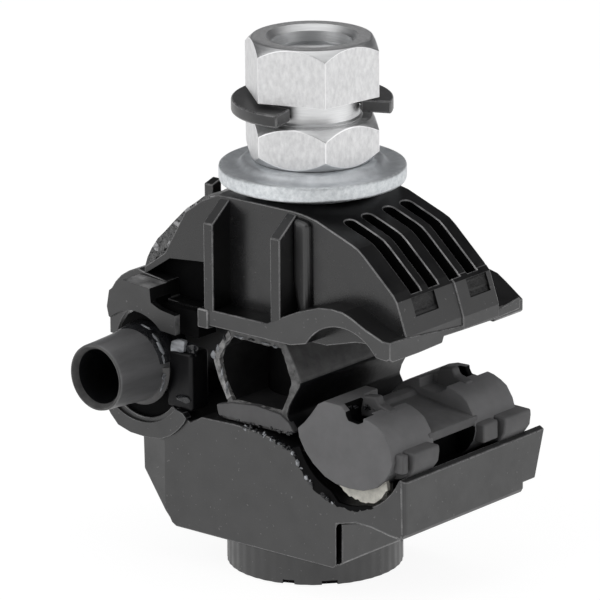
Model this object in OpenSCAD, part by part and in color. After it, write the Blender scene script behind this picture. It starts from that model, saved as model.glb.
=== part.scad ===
// Insulation piercing connector for insulated overhead conductors.
// The bolt axis is Z, the conductors run along Y, and the boss stands on Z = 0.

/* [Fastener] */
// Nominal diameter of the clamping bolt
bolt_d = 8; // [6:0.5:9]
// Width across flats of the bolt head and of both hexes of the nut
hex_af = 13; // [11.5:0.5:14]
// Height of the bolt head
head_h = 5.3; // [4:0.1:6]
// Height of the lower hex, which stays after the neck breaks
base_hex_h = 4.6; // [4:0.1:6]
// Height of the neck between the two hexes
neck_h = 2.5; // [2:0.1:4]
// Diameter of the neck
neck_d = 10; // [9.5:0.1:11]
// Height of the upper hex, which breaks off
drive_hex_h = 6.1; // [5:0.1:8]
// Distance from the top of the nut down to the tip of the bolt
tip_depth = 4; // [3.5:0.1:6]
// Width of the bevel on the corners of the hexes, up the nut
hex_bevel = 1.2; // [0.8:0.1:1.4]
// Diameter of the countersunk mouth of the nut
mouth_d = 10.3; // [9.8:0.1:11]
// Turn of the nut about the bolt
nut_turn = 20.4; // [0:0.2:60]

/* [Stop ring] */
// Outer diameter of the open ring in the neck
ring_d = 17.2; // [15.5:0.1:19]
// Thickness of the open ring
ring_t = 1.4; // [1:0.1:1.8]
// Angle of the opening in the ring
ring_opening = 120; // [90:1:140]
// Direction of the opening, from +X
ring_turn = -21; // [-90:1:90]

/* [Washer] */
// Outer diameter of the washer
washer_d = 20; // [18:0.1:21]
// Thickness of the washer at its rim
washer_t = 1.7; // [1.2:0.1:2.2]
// Height of the raised land under the nut
land_h = 0.65; // [0.4:0.05:1]
// Diameter of the raised land
land_d = 15; // [14.6:0.1:16]
// Height of the dished underside
dish_h = 1; // [0.6:0.1:1.5]
// Diameter of the flat of the dished underside
dish_d = 13.6; // [12.5:0.1:15]

/* [Lower jaw] */
// Diameter of the boss
boss_d = 19; // [17:0.1:21]
// Height of the boss
boss_h = 3.75; // [3:0.05:5]
// Height of the block above the boss
block_h = 13.15; // [12.5:0.05:14.5]
// Reach of the block on the tap side
block_left = 11.6; // [11:0.1:12]
// Reach of the block on the main side
block_right = 11.35; // [10.5:0.05:12]
// Depth of the lower jaw along the conductors
lower_d = 20.4; // [19.8:0.1:22]
// Reach of the lip on the main side
lip_x = 20.4; // [20.1:0.1:21]
// Outward lean of the lip
lip_lean = 0.1; // [0:0.05:0.3]
// Reach of the lip behind the rear of the jaw
lip_tail = 3.6; // [2.5:0.1:4]
// Height of the underside of the main cradle above the block's underside
overhang_h = 5.35; // [5:0.05:5.6]
// Diameter of the guide tower round the bolt
tower_d = 9.6; // [9.4:0.1:9.8]
// Reach of the guide tower into the upper jaw
tower_reach = 5.4; // [4.5:0.1:6]

/* [Upper jaw] */
// Free gap between the block and the upper jaw
jaw_gap = 10.6; // [9.6:0.1:12]
// Height of the upper jaw at the bolt
hump_h = 13.9; // [13.4:0.1:15]
// Depth of the hump between its front and rear walls
hump_d = 15.5; // [15.3:0.1:16.5]
// Distance from the bolt to the middle of the hump, towards the front
hump_shift = 0.7; // [0.5:0.05:0.8]
// Depth of the skirts along the conductors
skirt_d = 22.6; // [21.6:0.1:24]
// Reach of the skirts on the main side
skirt_x = 19.1; // [18.8:0.1:20]
// Height of the skirt under the ribs
skirt_h = 2.05; // [1.6:0.05:2.6]
// Width of each gusset rib
rib_w = 1.3; // [1:0.1:1.6]
// Width of the slots down the slopes
slot_w = 1.7; // [1.2:0.1:2]
// Depth of the slots down the slopes
slot_depth = 1.1; // [0.6:0.1:1.4]
// Spacing of the slots
slot_pitch = 2.9; // [2.6:0.05:3.2]
// Distance from the middle of the hump to the inner slots
slot_inner = 1.75; // [1.6:0.05:2]

/* [Main conductor] */
// Distance from the bolt to the main conductor
main_x = 12.7; // [12.5:0.05:13.2]
// Radius of the cradle in the lower jaw
cradle_r = 7.8; // [7.7:0.05:8]
// Radius of the underside of the lower seal
seal_r = 8.3; // [8:0.05:8.5]
// Radius of the arch in the upper jaw
arch_r = 5.5; // [5:0.05:6]
// Thickness of the rubber liner in the arch
arch_liner = 1.4; // [1:0.1:1.6]
// Thickness of the wall of the skirt over the arch
arch_wall = 1.75; // [1.4:0.05:2.2]
// Radius of the crowned top of the lower seal
crown_r = 7.4; // [7.2:0.05:7.6]
// Reach of the lower seal in front of the jaw and behind it
seal_proud = 0.3; // [0.1:0.05:0.5]

/* [Tap conductor] */
// Distance from the bolt to the tap conductor
tap_x = 15.55; // [15.3:0.05:15.8]
// Radius of the tap cradle and of the tap saddle
saddle_r = 5.1; // [5:0.05:5.2]
// Outer diameter of the end sleeve
sleeve_d = 7.8; // [7.4:0.1:8]
// Bore of the end sleeve
sleeve_bore = 5.4; // [5:0.1:5.8]
// Reach of the end sleeve in front of the bolt
sleeve_front = 17.3; // [15:0.1:20]
// Depth of the coned lead-in at the mouth of the end sleeve
sleeve_lead = 0.8; // [0.4:0.1:1.2]
// Width of the rim round that lead-in
sleeve_rim = 0.3; // [0.2:0.05:0.5]
// Thickness of the rubber liner in the saddle
saddle_liner = 1.2; // [0.9:0.1:1.4]

/* [Spacer bellows] */
// Width of the bellows at its top and at its foot
bellows_w = 8; // [7.6:0.1:8.6]
// Width of the bellows at its fold
bellows_fold_w = 11.8; // [11.4:0.1:12.4]
// Wall of the bellows
bellows_wall = 0.9; // [0.7:0.05:1.1]
// Height of the solid foot of the bellows
bellows_foot = 2.3; // [1.6:0.1:2.8]
// Length of the bellows along the conductors
bellows_d = 19; // [17:0.1:20]

/* [Contact blades] */
// Thickness of each blade
blade_t = 1; // [0.8:0.1:1.2]
// Distance from the bolt to the middle of each blade
blade_y = 5.75; // [5.7:0.05:6]
// Height of the bar of each blade
blade_bar = 2; // [1.6:0.1:2.2]
// Height of the teeth
tooth_h = 1.2; // [0.8:0.1:1.5]

/* [Clearances] */
// Travel of the upper jaw until the saddle is next to the sleeve
jaw_travel = 1.9; // [1.5:0.1:2]
// Running clearance between parts that move on each other
run_gap = 0.4; // [0.3:0.05:0.5]
// Seat clearance of rubber and metal pieces in the jaws
seat_gap = 0.1; // [0.05:0.05:0.2]
// Height of the nut over the washer before it is tightened
nut_lift = 0.05; // [0.05:0.05:0.1]

/* [Hidden] */
$fn = 96;
over = 1;
hex_ac = hex_af / cos(30);
through = 60;

// Heights, from the boss upwards
z_block = boss_h;
z_part = z_block + block_h;
z_upper = z_part + jaw_gap;
z_roof = z_upper + hump_h;
z_rim = z_roof + dish_h;
z_rim_top = z_rim + washer_t;
z_nut = z_rim_top + land_h + nut_lift;
z_neck = z_nut + base_hex_h;
z_drive = z_neck + neck_h;
z_top = z_drive + drive_hex_h;
z_overhang = z_block + overhang_h;

// Axes of the round channels, from the facing sides of the two jaws
cradle_rise = 1.8;
seal_rise = 4.6;
arch_drop = 2.1;
tap_rise = 3.3;
saddle_drop = 5.2;
sleeve_lift = 1.1;
cradle_z = z_part + cradle_rise;
seal_z = z_part + seal_rise;
arch_z = z_upper - arch_drop;
tap_low_z = z_part + tap_rise;
tap_high_z = z_upper - saddle_drop;
sleeve_z = tap_low_z + sleeve_lift;
seal_d = lower_d + 2 * seal_proud;

// Bores round the bolt
bolt_bore = bolt_d + 2 * seat_gap;
jaw_bore = bolt_d + 2 * run_gap;
tower_h = jaw_gap + tower_reach;
tower_pocket_h = tower_reach + jaw_travel + run_gap;

// Contact blades: heights of the bars, tips of the teeth and half widths of the risers
bar_cover = 0.4;
tip_gap = 0.5;
tip_sink = 2.6;
low_bar_z = z_overhang + bar_cover + blade_bar / 2;
low_tap_tip = sleeve_z - sleeve_d / 2 - tip_gap;
low_main_tip = seal_z - tip_sink;
high_tap_bar = tap_high_z + saddle_r + saddle_liner + bar_cover + blade_bar / 2;
high_main_bar = arch_z + arch_r + arch_liner + bar_cover + blade_bar / 2;
high_tap_tip = tap_high_z + saddle_r + seat_gap;
high_main_tip = arch_z + arch_r + seat_gap;
tap_riser_half = 1.5;
main_riser_half = 2.4;
blade_floor = blade_y + blade_t / 2 + seat_gap;

// Front and rear walls of the hump, and the wall that closes each liner pocket
front_wall = hump_d / 2 + hump_shift;
rear_wall = hump_d / 2 - hump_shift;
liner_wall = 0.65;

// Height of the open side of an upper liner above its axis, as a share of its radius
liner_rise = 0.62;

// Gusset ribs, buttresses and slots, as places on the hump
rib_left = -5.05;
rib_right = 4.15;
rib_drop = 0.35;
rib_lean = 2.05;
buttress_w = 1.9;
buttress_foot_w = 1.2;
buttress_proud = 0.7;
buttress_drop = 0.6;
post_w = 1.4;
slot_shift = -0.3;

// Roof of the hump: a flat under the washer between two slopes
roof_fall = 14;
roof_right = 4;
roof_left = -4;
hump_right = 19.5;
hump_left = -16.8;

// Slopes of the roof, as shares of its run and of its fall
main_slope = [[0, 0], [0.22, 0.035], [0.55, 0.17], [0.62, 0.215], [0.89, 0.49], [0.93, 0.54], [1, 0.78]];
tap_slope = [[0, 0], [0.16, 0.01], [0.34, 0.075], [0.52, 0.2], [0.78, 0.4], [0.9, 0.56], [0.97, 0.68],
             [1, 0.8]];

// Edge of the tap saddle next to the bellows, and the rise of the flange at the main end
saddle_x = 9.8;
saddle_fall = 2;
flange_rise = 0.9;

// Tap saddle: its wall, its top and the ends of its legs, from the facing side of the upper jaw
saddle_wall = 0.95;
saddle_rise = 3.9;
leg_drop = 4.4;

// Shoulder of the tap saddle, from the tap axis and the saddle's top
saddle_shoulder = [[-0.8, 0], [-3.2, -0.8], [-5, -2.1]];

// Free edge of the front and rear plates, from the tap axis and the facing side of the upper jaw
plate_edge = [[3.6, 0.7], [2.3, 1.3], [2.1, 2.8], [-1.6, 3], [-3.6, 1.6], [-3.9, -0.3], [-3.75, -2.5]];

// Pocket in the front wall over the tap saddle, from the same places
pocket_edge = [[-0.9, 3.3], [2.1, 2.9], [2.2, 1.2], [5.7, 0.95]];
pocket_roof = [[6.5, 6], [2.6, 5.6]];
pocket_h = 6.2;

// Upright post on the tap slope, and the recesses in the end wall on the main side
post_x = -13.6;
post_t = 1.2;
post_drop = 1.1;
post_top = z_roof - post_drop;
recess_w = 3.6;
recess_h = 1.8;
recess_depth = 2.1;
recess_y = 4.2;
recess_rise = 4.6;

// An outline in x and z, extruded along the conductors about Y = 0
module along_y(depth) {
    rotate([90, 0, 0])
        linear_extrude(depth, center = true)
            children();
}

// A round bar along the conductors
module bar_y(r, x, z, depth) {
    translate([x, 0, z])
        rotate([90, 0, 0])
            cylinder(r = r, h = depth, center = true);
}

// A disc in an x and z outline
module disc(r, x, z) {
    translate([x, z])
        circle(r = r);
}

// A rectangle in an x and z outline
module slab(x0, x1, z0, z1) {
    translate([x0, z0])
        square([x1 - x0, z1 - z0]);
}

// A hexagonal prism with its corners turned off at the top, and at the bottom by the given bevel
module bevelled_hex(height, foot_bevel) {
    inner = hex_af / 2 - 0.1;
    outer = hex_ac / 2 + 0.01;
    intersection() {
        cylinder(d = hex_ac, h = height, $fn = 6);
        rotate_extrude()
            polygon(concat(foot_bevel > 0 ? [[0, 0], [inner, 0], [outer, foot_bevel]]
                                          : [[0, 0], [outer, 0]],
                           [[outer, height - hex_bevel], [inner, height], [0, height]]));
    }
}

// Toothed plate that joins both channels. Its bar runs from the height tap_bar to the height main_bar,
// and its risers end in teeth at tap_tip and main_tip, above the bar or below it.
module blade(tap_bar, main_bar, tap_tip, main_tip, y) {
    up = main_tip > main_bar ? 1 : -1;
    tap_end = -tap_x;
    main_end = main_x + main_riser_half;
    translate([0, y, 0])
        along_y(blade_t) {
            polygon([[tap_end, tap_bar - blade_bar / 2], [main_end, main_bar - blade_bar / 2],
                     [main_end, main_bar + blade_bar / 2], [tap_end, tap_bar + blade_bar / 2]]);
            riser(tap_end + tap_riser_half, tap_riser_half, tap_bar, tap_tip, up, 2);
            riser(main_x, main_riser_half, main_bar, main_tip, up, 4);
        }
}

// Upright of a blade with a row of pointed teeth on its end
module riser(x, half, z_from, z_to, up, teeth) {
    pitch = 2 * half / teeth;
    root = z_to - up * tooth_h;
    polygon(concat([[x - up * half, z_from], [x + up * half, z_from], [x + up * half, root]],
                   [for (i = [0 : teeth - 1], k = [0, 1])
                       [x + up * (half - pitch * (i + (k + 1) / 2)), k == 0 ? z_to : root]]));
}

// Slots that let the lower or the upper blades in
module blade_slots(z_from, z_to, reach) {
    for (y = [-blade_y, blade_y])
        translate([-tap_x - seat_gap, y - blade_t / 2 - seat_gap, z_from])
            cube([tap_x + reach + 2 * seat_gap, blade_t + 2 * seat_gap, z_to - z_from]);
}

// Slots in the upper jaw, under a ceiling that follows the bars of the upper blades
module upper_blade_slots() {
    tap_end = -tap_x - seat_gap;
    main_end = main_x + main_riser_half + seat_gap;
    rise = blade_bar / 2 + 2 * seat_gap;
    for (y = [-blade_y, blade_y])
        translate([0, y, 0])
            along_y(blade_t + 2 * seat_gap)
                polygon([[tap_end, z_upper - 3], [main_end, z_upper - 3],
                         [main_end, high_main_bar + rise], [tap_end, high_tap_bar + rise]]);
}

// Section of the lower jaw before the two channels are cut
module lower_outline() {
    lip_top = z_part - 1.5;
    lip_round = 0.9;
    notch_x = -8.8;
    notch_half = 1.8;
    notch_fall = 1.1;
    tap_rim = z_part + 0.3;
    tap_lip = z_part - 2;
    heel_x = -block_left - 0.3;
    heel_h = 1.2;
    ridge_x = main_x + 2.7;
    ridge_sag = 0.3;
    shoulder_land = 0.4;
    shoulder_x = bellows_w / 2 + shoulder_land;
    shoulder_fall = 2;
    polygon([[-block_left, z_block], [block_right, z_block], [block_right, z_overhang],
             [ridge_x, z_overhang + ridge_sag], [lip_x - lip_round, z_overhang - ridge_sag],
             [lip_x, z_overhang], [lip_x + lip_lean, lip_top], [lip_x + lip_lean - lip_round, lip_top],
             [shoulder_x + shoulder_fall, z_part - shoulder_fall], [shoulder_x, z_part],
             [notch_x + notch_half, z_part],
             [notch_x, z_part - notch_fall], [-tap_x + saddle_r - 1, tap_rim],
             [-tap_x - saddle_r + 0.5, tap_rim], [-tap_x - 4.5, tap_lip], [-tap_x - 3.1, tap_lip - 1],
             [-tap_x - 0.9, tap_lip - 1.7], [-tap_x - 0.6, z_overhang], [heel_x, z_block + heel_h]]);
}

// Rear end of the lip, which reaches behind the jaw with a slanted end
module lip_end() {
    root = lower_d / 2 - over;
    tip = lower_d / 2 + lip_tail;
    intersection() {
        translate([0, (root + tip) / 2, 0])
            along_y(tip - root)
                difference() {
                    lower_outline();
                    disc(cradle_r, main_x, cradle_z);
                    slab(-tap_x - 2 * saddle_r, main_x + cradle_r / 2, z_block - over, z_upper);
                }
        rotate([90, 0, 90])
            linear_extrude(through)
                polygon([[root - over, z_overhang + 0.8], [tip - 1.6, z_overhang + 0.8], [tip, z_part],
                         [root - over, z_part]]);
    }
}

// Slanted faces on the tap side of the block, at its front and rear corners
module tap_facets() {
    facet_x = -block_left - 0.8;
    facet_run = 6;
    facet_depth = 1.4;
    for (side = [0, 1])
        mirror([0, side, 0])
            translate([0, 0, z_block - over])
                linear_extrude(z_part - 3.6 - z_block + over)
                    polygon([[facet_x, -lower_d / 2], [facet_x - facet_run, facet_depth - lower_d / 2],
                             [facet_x - facet_run, -lower_d / 2 - over], [facet_x, -lower_d / 2 - over]]);
}

// Upright grooves in the side of the block under the main cradle, behind the front and rear corners
module corner_grooves() {
    groove_w = 1.1;
    groove_depth = 0.9;
    corner = 0.6;
    for (side = [-1, 1])
        translate([block_right - groove_depth, side * (lower_d / 2 - corner - groove_w / 2) - groove_w / 2,
                   z_block - over])
            cube([groove_depth + over, groove_w, overhang_h + over]);
}

// Ribs in the main cradle that the lower seal lies on
module seal_seats() {
    seat_w = 2;
    seat_y = 3.4;
    seat_half = 4.7;
    seat_root = 0.2;
    for (y = [-seat_y, seat_y])
        translate([0, y, 0])
            along_y(seat_w)
                difference() {
                    intersection() {
                        disc(cradle_r + seat_root, main_x, cradle_z);
                        slab(main_x - seat_half, main_x + seat_half, z_overhang, cradle_z);
                    }
                    disc(seal_r, main_x, seal_z);
                }
}

module lower_body() {
    color("#2b2b2d")
        difference() {
            union() {
                difference() {
                    along_y(lower_d) lower_outline();
                    bar_y(cradle_r, main_x, cradle_z, lower_d + 2 * over);
                    bar_y(saddle_r, -tap_x, tap_low_z, lower_d + 2 * over);
                }
                seal_seats();
                lip_end();
                cylinder(d = boss_d, h = boss_h + over);
                translate([0, 0, z_block])
                    cylinder(d = tower_d, h = block_h + tower_h);
            }
            translate([0, 0, -over])
                cylinder(d = bolt_bore, h = through);
            translate([0, 0, -over])
                cylinder(d = hex_ac + 2 * seat_gap, h = head_h + seat_gap + over, $fn = 6);
            blade_slots(low_bar_z - blade_bar / 2 - seat_gap, z_part + over, main_x + main_riser_half);
            corner_grooves();
            tap_facets();
        }
}

module clamp_bolt() {
    color("#8f9396")
        union() {
            cylinder(d = hex_ac, h = head_h, $fn = 6);
            cylinder(d = bolt_d, h = z_top - tip_depth);
        }
}

// Half-round ear of the lower seal, over the lip
module seal_ear(y_from, y_to) {
    ear_r = 2.5;
    ear_x = lip_x + 0.5;
    ear_top = z_part + 1.3;
    translate([0, (y_from + y_to) / 2, 0])
        along_y(y_to - y_from)
            intersection() {
                disc(ear_r, ear_x - ear_r, ear_top);
                slab(main_x, ear_x, ear_top - ear_r, ear_top);
            }
}

// Rubber insert: two crowned barrels with a tray between them, which has a rail on its open side
module main_seal_lower() {
    crown_x = main_x + 0.2;
    crown_lift = 0.1;
    tray_d = 7;
    tray_x = main_x - 1.5;
    tray_fall = 3.6;
    rail_x = main_x + 5.6;
    rail_fall = 2.3;
    rail_foot_fall = 3.8;
    hollow_x = main_x + 3.9;
    front_ear = -8.7;
    rear_ear = 6.2;
    ear_w = 4.3;
    notch_x = crown_x - 0.4;
    notch_w = 2.6;
    notch_d = 1.8;
    notch_fall = 1.1;
    color("#55565a")
        difference() {
            union() {
                along_y(seal_d)
                    intersection() {
                        disc(seal_r - seat_gap, main_x, seal_z);
                        disc(crown_r, crown_x, seal_z + crown_lift - crown_r);
                    }
                for (y = [front_ear, rear_ear])
                    seal_ear(y, y + ear_w);
            }
            translate([tray_x, -tray_d / 2, seal_z - tray_fall])
                cube([rail_x - tray_x, tray_d, seal_r]);
            translate([rail_x - over, -tray_d / 2, seal_z - rail_fall])
                cube([seal_r, tray_d, seal_r]);
            translate([hollow_x, -tray_d / 2, z_block])
                cube([seal_r, tray_d, seal_z - rail_foot_fall - z_block]);
            for (side = [-1, 1])
                translate([notch_x, side * seal_d / 2 - notch_d, seal_z - notch_fall])
                    cube([notch_w, 2 * notch_d, seal_r]);
            blade_slots(z_block, z_upper, main_x + main_riser_half);
        }
}

module tap_seal_lower() {
    color("#303034")
        difference() {
            intersection() {
                bar_y(saddle_r - seat_gap, -tap_x, tap_low_z, lower_d - 1);
                translate([-tap_x - saddle_r, -lower_d / 2, z_block])
                    cube([2 * saddle_r, lower_d, tap_low_z - 1 - z_block]);
            }
            bar_y(sleeve_d / 2 + 2 * seat_gap, -tap_x, sleeve_z, lower_d);
            blade_slots(z_block, sleeve_z, main_x);
        }
}

// Round tube closed at its rear, with a half flange in front of the lower jaw
module tap_sleeve() {
    r = sleeve_d / 2;
    back = lower_d / 2 - 1;
    end_wall = 1.5;
    edge = 0.6;
    flange_h = 0.8;
    flange_y = lower_d / 2 + seat_gap;
    mouth_r = r - 0.2;
    color("#2a2a2c")
        translate([-tap_x, 0, sleeve_z])
            rotate([90, 0, 0])
                union() {
                    rotate_extrude()
                        polygon([[0, -back], [r - edge, -back], [r, edge - back], [r, flange_y + edge],
                                 [mouth_r, sleeve_front], [mouth_r - sleeve_rim, sleeve_front],
                                 [sleeve_bore / 2, sleeve_front - sleeve_lead],
                                 [sleeve_bore / 2, end_wall - back], [0, end_wall - back]]);
                    rotate([0, 0, 180])
                        rotate_extrude(angle = 180)
                            translate([r - edge, flange_y])
                                square([edge + flange_h, edge]);
                }
}

module spacer_bellows() {
    foot = z_part + seat_gap;
    low = foot + bellows_foot;
    top = z_upper - 2 * seat_gap;
    fold = (low + top) / 2;
    inner_w = bellows_w - 2 * bellows_wall;
    inner_fold = bellows_fold_w - 2.2 * bellows_wall;
    color("#252527")
        difference() {
            along_y(bellows_d)
                difference() {
                    polygon([[-bellows_w / 2, foot], [bellows_w / 2, foot], [bellows_w / 2, low],
                             [bellows_fold_w / 2, fold], [bellows_w / 2, top], [-bellows_w / 2, top],
                             [-bellows_fold_w / 2, fold], [-bellows_w / 2, low]]);
                    polygon([[-inner_w / 2, low + bellows_wall], [inner_w / 2, low + bellows_wall],
                             [inner_fold / 2, fold], [inner_w / 2, top - bellows_wall],
                             [-inner_w / 2, top - bellows_wall], [-inner_fold / 2, fold]]);
                }
            translate([0, 0, z_part - over])
                cylinder(d = tower_d + 2 * run_gap, h = jaw_gap + 2 * over);
        }
}

// One slope of the roof as points, shrunk by the given amount
function roof_line(x0, x1, slope, shrink) =
    [for (p = slope)
        [x0 + (x1 - x0 - sign(x1 - x0) * shrink) * p[0], z_roof - shrink - (roof_fall - shrink) * p[1]]];

function reversed(list) = [for (i = [len(list) - 1 : -1 : 0]) list[i]];

// Section of the hump between its front and rear walls
module hump_outline() {
    polygon(concat(reversed(roof_line(roof_right, hump_right, main_slope, 0)),
                   roof_line(roof_left, hump_left, tap_slope, 0),
                   [[hump_left, z_upper - saddle_fall], [-saddle_x, z_upper - saddle_fall],
                    [-saddle_x, z_upper], [main_x - 4, z_upper], [main_x, z_upper + flange_rise],
                    [hump_right, z_upper + flange_rise]]));
}

// Skirt under the ribs, which rises over the main arch and ends in a flat flange
module skirt_outline() {
    flange_z = z_upper + flange_rise;
    slab(rib_left - rib_w / 2, main_x, z_upper, z_upper + skirt_h);
    slab(main_x, skirt_x, flange_z, flange_z + skirt_h);
    intersection() {
        disc(arch_r + arch_wall, main_x, arch_z);
        slab(main_x - 2 * arch_r, main_x + 2 * arch_r, z_upper, z_roof);
    }
}

// Points given from the tap axis and from a height
function from_tap(list, z) = [for (p = list) [p[0] - tap_x, z + p[1]]];

// Part of the upper jaw that wraps the tap sleeve, behind its front and rear plates
module saddle_outline() {
    outer = -tap_x - saddle_r - saddle_wall;
    top = z_upper + saddle_rise;
    polygon(concat([[-saddle_x, z_upper - saddle_fall], [-saddle_x, top]], from_tap(saddle_shoulder, top),
                   [[outer, z_upper], [outer, z_upper - leg_drop]]));
}

// Front and rear plates of the tap saddle
module saddle_plate_outline() {
    edge_rise = 0.3;
    polygon(concat([[-saddle_x, z_upper - saddle_fall], [-saddle_x, z_upper + edge_rise]],
                   from_tap(plate_edge, z_upper)));
}

// Gusset rib on a wall at the given distance in front of the bolt, with a slanted top
module rib(x, wall) {
    reach = skirt_d / 2 - wall;
    top = z_roof - rib_drop;
    translate([x - rib_w / 2, -wall, 0])
        rotate([90, 0, 90])
            linear_extrude(rib_w)
                polygon([[over, top], [0, top], [-reach, top - rib_lean],
                         [-reach, z_upper + over / 2], [over, z_upper + over / 2]]);
}

// Flat buttress beside the right rib on such a wall, its foot drawn in
module buttress(wall) {
    left = rib_right + rib_w / 2 - seat_gap;
    right = left + buttress_w;
    foot = z_upper + skirt_h;
    bend = foot + 2 * buttress_w;
    translate([0, (over - buttress_proud) / 2 - wall, 0])
        along_y(over + buttress_proud)
            polygon([[right - buttress_foot_w, foot], [right, foot], [right, z_roof - buttress_drop],
                     [left, z_roof - buttress_drop], [left, bend]]);
}

// What the slots leave of one end of the roof
module roof_core(x0, x1, slope) {
    line = roof_line(x0, x1, slope, slot_depth);
    polygon(concat(x1 > x0 ? reversed(line) : line, [[x0, z_roof - roof_fall]]));
}

// Slots down one slope of the hump, in two pairs beside a wider middle rib
module slope_slots(x0, x1, slope) {
    start = x0 + 0.3 * (x1 - x0);
    stop = x0 + 0.93 * (x1 - x0);
    for (side = [-1, 1], i = [0, 1])
        translate([0, slot_shift + side * (slot_inner + i * slot_pitch), 0])
            along_y(slot_w)
                difference() {
                    translate([min(start, stop), z_roof - 0.56 * roof_fall])
                        square([abs(stop - start), roof_fall]);
                    roof_core(x0, x1, slope);
                }
}

module upper_body() {
    wall_pocket = front_wall - blade_floor - bar_cover;
    liner_d = hump_d - 2 * liner_wall;
    pocket_right = rib_left - rib_w / 2;
    pocket_floor = 0.95;
    color("#28282a")
        difference() {
            union() {
                translate([0, -hump_shift, 0])
                    along_y(hump_d) {
                        hump_outline();
                        saddle_outline();
                    }
                along_y(skirt_d) skirt_outline();
                along_y(skirt_d) saddle_plate_outline();
                for (x = [rib_left, rib_right]) {
                    rib(x, front_wall);
                    mirror([0, 1, 0])
                        rib(x, rear_wall);
                }
                buttress(front_wall);
                mirror([0, 1, 0])
                    buttress(rear_wall);
                translate([post_x, slot_shift - post_w / 2, z_roof - hump_h / 2])
                    cube([post_t, post_w, post_top - z_roof + hump_h / 2]);
            }
            bar_y(arch_r, main_x, arch_z, skirt_d + 2 * over);
            bar_y(saddle_r, -tap_x, tap_high_z, skirt_d + 2 * over);
            translate([0, -hump_shift, 0]) {
                bar_y(arch_r + arch_liner, main_x, arch_z, liner_d);
                bar_y(saddle_r + saddle_liner, -tap_x, tap_high_z, liner_d);
            }
            translate([0, 0, z_upper - over])
                cylinder(d = tower_d + 2 * run_gap, h = tower_pocket_h + over);
            cylinder(d = jaw_bore, h = through);
            translate([0, (wall_pocket - over) / 2 - front_wall, 0])
                along_y(wall_pocket + over)
                    polygon(concat(from_tap(pocket_edge, z_upper),
                                   [[pocket_right, z_upper + pocket_floor],
                                    [pocket_right, z_upper + pocket_h]],
                                   from_tap(pocket_roof, z_upper)));
            slope_slots(roof_right, hump_right, main_slope);
            slope_slots(roof_left, hump_left, tap_slope);
            for (y = [-recess_y, recess_y])
                translate([hump_right - recess_depth, y - recess_w / 2, z_upper + recess_rise])
                    cube([recess_depth + over, recess_w, recess_h]);
            upper_blade_slots();
        }
}

// Rubber liner of a round channel in the upper jaw, open below
module liner(r, thickness, x, z) {
    depth = hump_d - 2 * (liner_wall + seat_gap);
    open_h = liner_rise * r;
    difference() {
        translate([0, -hump_shift, 0])
            difference() {
                bar_y(r + thickness - seat_gap, x, z, depth);
                bar_y(r, x, z, depth + over);
                translate([x - 2 * r, -depth, z - 2 * r])
                    cube([4 * r, 2 * depth, 2 * r + open_h]);
            }
        blade_slots(z, z + 2 * r, main_x + main_riser_half);
    }
}

module main_seal_upper() {
    color("#3a3a3d") liner(arch_r, arch_liner, main_x, arch_z);
}

module tap_seal_upper() {
    color("#3a3a3d") liner(saddle_r, saddle_liner, -tap_x, tap_high_z);
}

module lower_blade(y) {
    color("#b9b6ac") blade(low_bar_z, low_bar_z, low_tap_tip, low_main_tip, y);
}

module upper_blade(y) {
    color("#b9b6ac") blade(high_tap_bar, high_main_bar, high_tap_tip, high_main_tip, y);
}

module blade_front_lower() {
    lower_blade(-blade_y);
}

module blade_rear_lower() {
    lower_blade(blade_y);
}

module blade_front_upper() {
    upper_blade(-blade_y);
}

module blade_rear_upper() {
    upper_blade(blade_y);
}

module dished_washer() {
    rim = washer_d / 2;
    edge = 0.25;
    hole = jaw_bore / 2;
    color("#b4b9bd")
        rotate_extrude()
            polygon([[hole, z_roof], [dish_d / 2, z_roof], [dish_d / 2 + 0.9, z_rim], [rim - edge, z_rim],
                     [rim, z_rim + edge], [rim, z_rim_top - edge], [rim - edge, z_rim_top],
                     [land_d / 2 + 0.8, z_rim_top - 0.1], [land_d / 2, z_rim_top + land_h],
                     [hole, z_rim_top + land_h]]);
}

module shear_nut() {
    color("#d5d7d8")
        difference() {
            rotate([0, 0, nut_turn]) {
                translate([0, 0, z_nut])
                    bevelled_hex(base_hex_h, hex_bevel);
                translate([0, 0, z_neck - over])
                    cylinder(d = neck_d, h = neck_h + 2 * over);
                translate([0, 0, z_drive])
                    bevelled_hex(drive_hex_h, 0);
            }
            translate([0, 0, z_nut - over])
                cylinder(d = jaw_bore, h = through);
            translate([0, 0, z_top - (mouth_d - jaw_bore) / 2])
                cylinder(d1 = jaw_bore, d2 = mouth_d + 0.02, h = (mouth_d - jaw_bore) / 2 + 0.01);
        }
}

module stop_ring() {
    inner = neck_d / 2 + seat_gap;
    color("#232325")
        translate([0, 0, z_neck + (neck_h - ring_t) / 2])
            rotate([0, 0, ring_turn + ring_opening / 2])
                rotate_extrude(angle = 360 - ring_opening)
                    translate([inner, 0])
                        square([ring_d / 2 - inner, ring_t]);
}

lower_body();
clamp_bolt();
main_seal_lower();
tap_seal_lower();
tap_sleeve();
blade_front_lower();
blade_rear_lower();
spacer_bellows();
upper_body();
main_seal_upper();
tap_seal_upper();
blade_front_upper();
blade_rear_upper();
dished_washer();
shear_nut();
stop_ring();
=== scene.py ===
import math
import random

import bmesh
import bpy
from mathutils import Matrix, Vector


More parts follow.
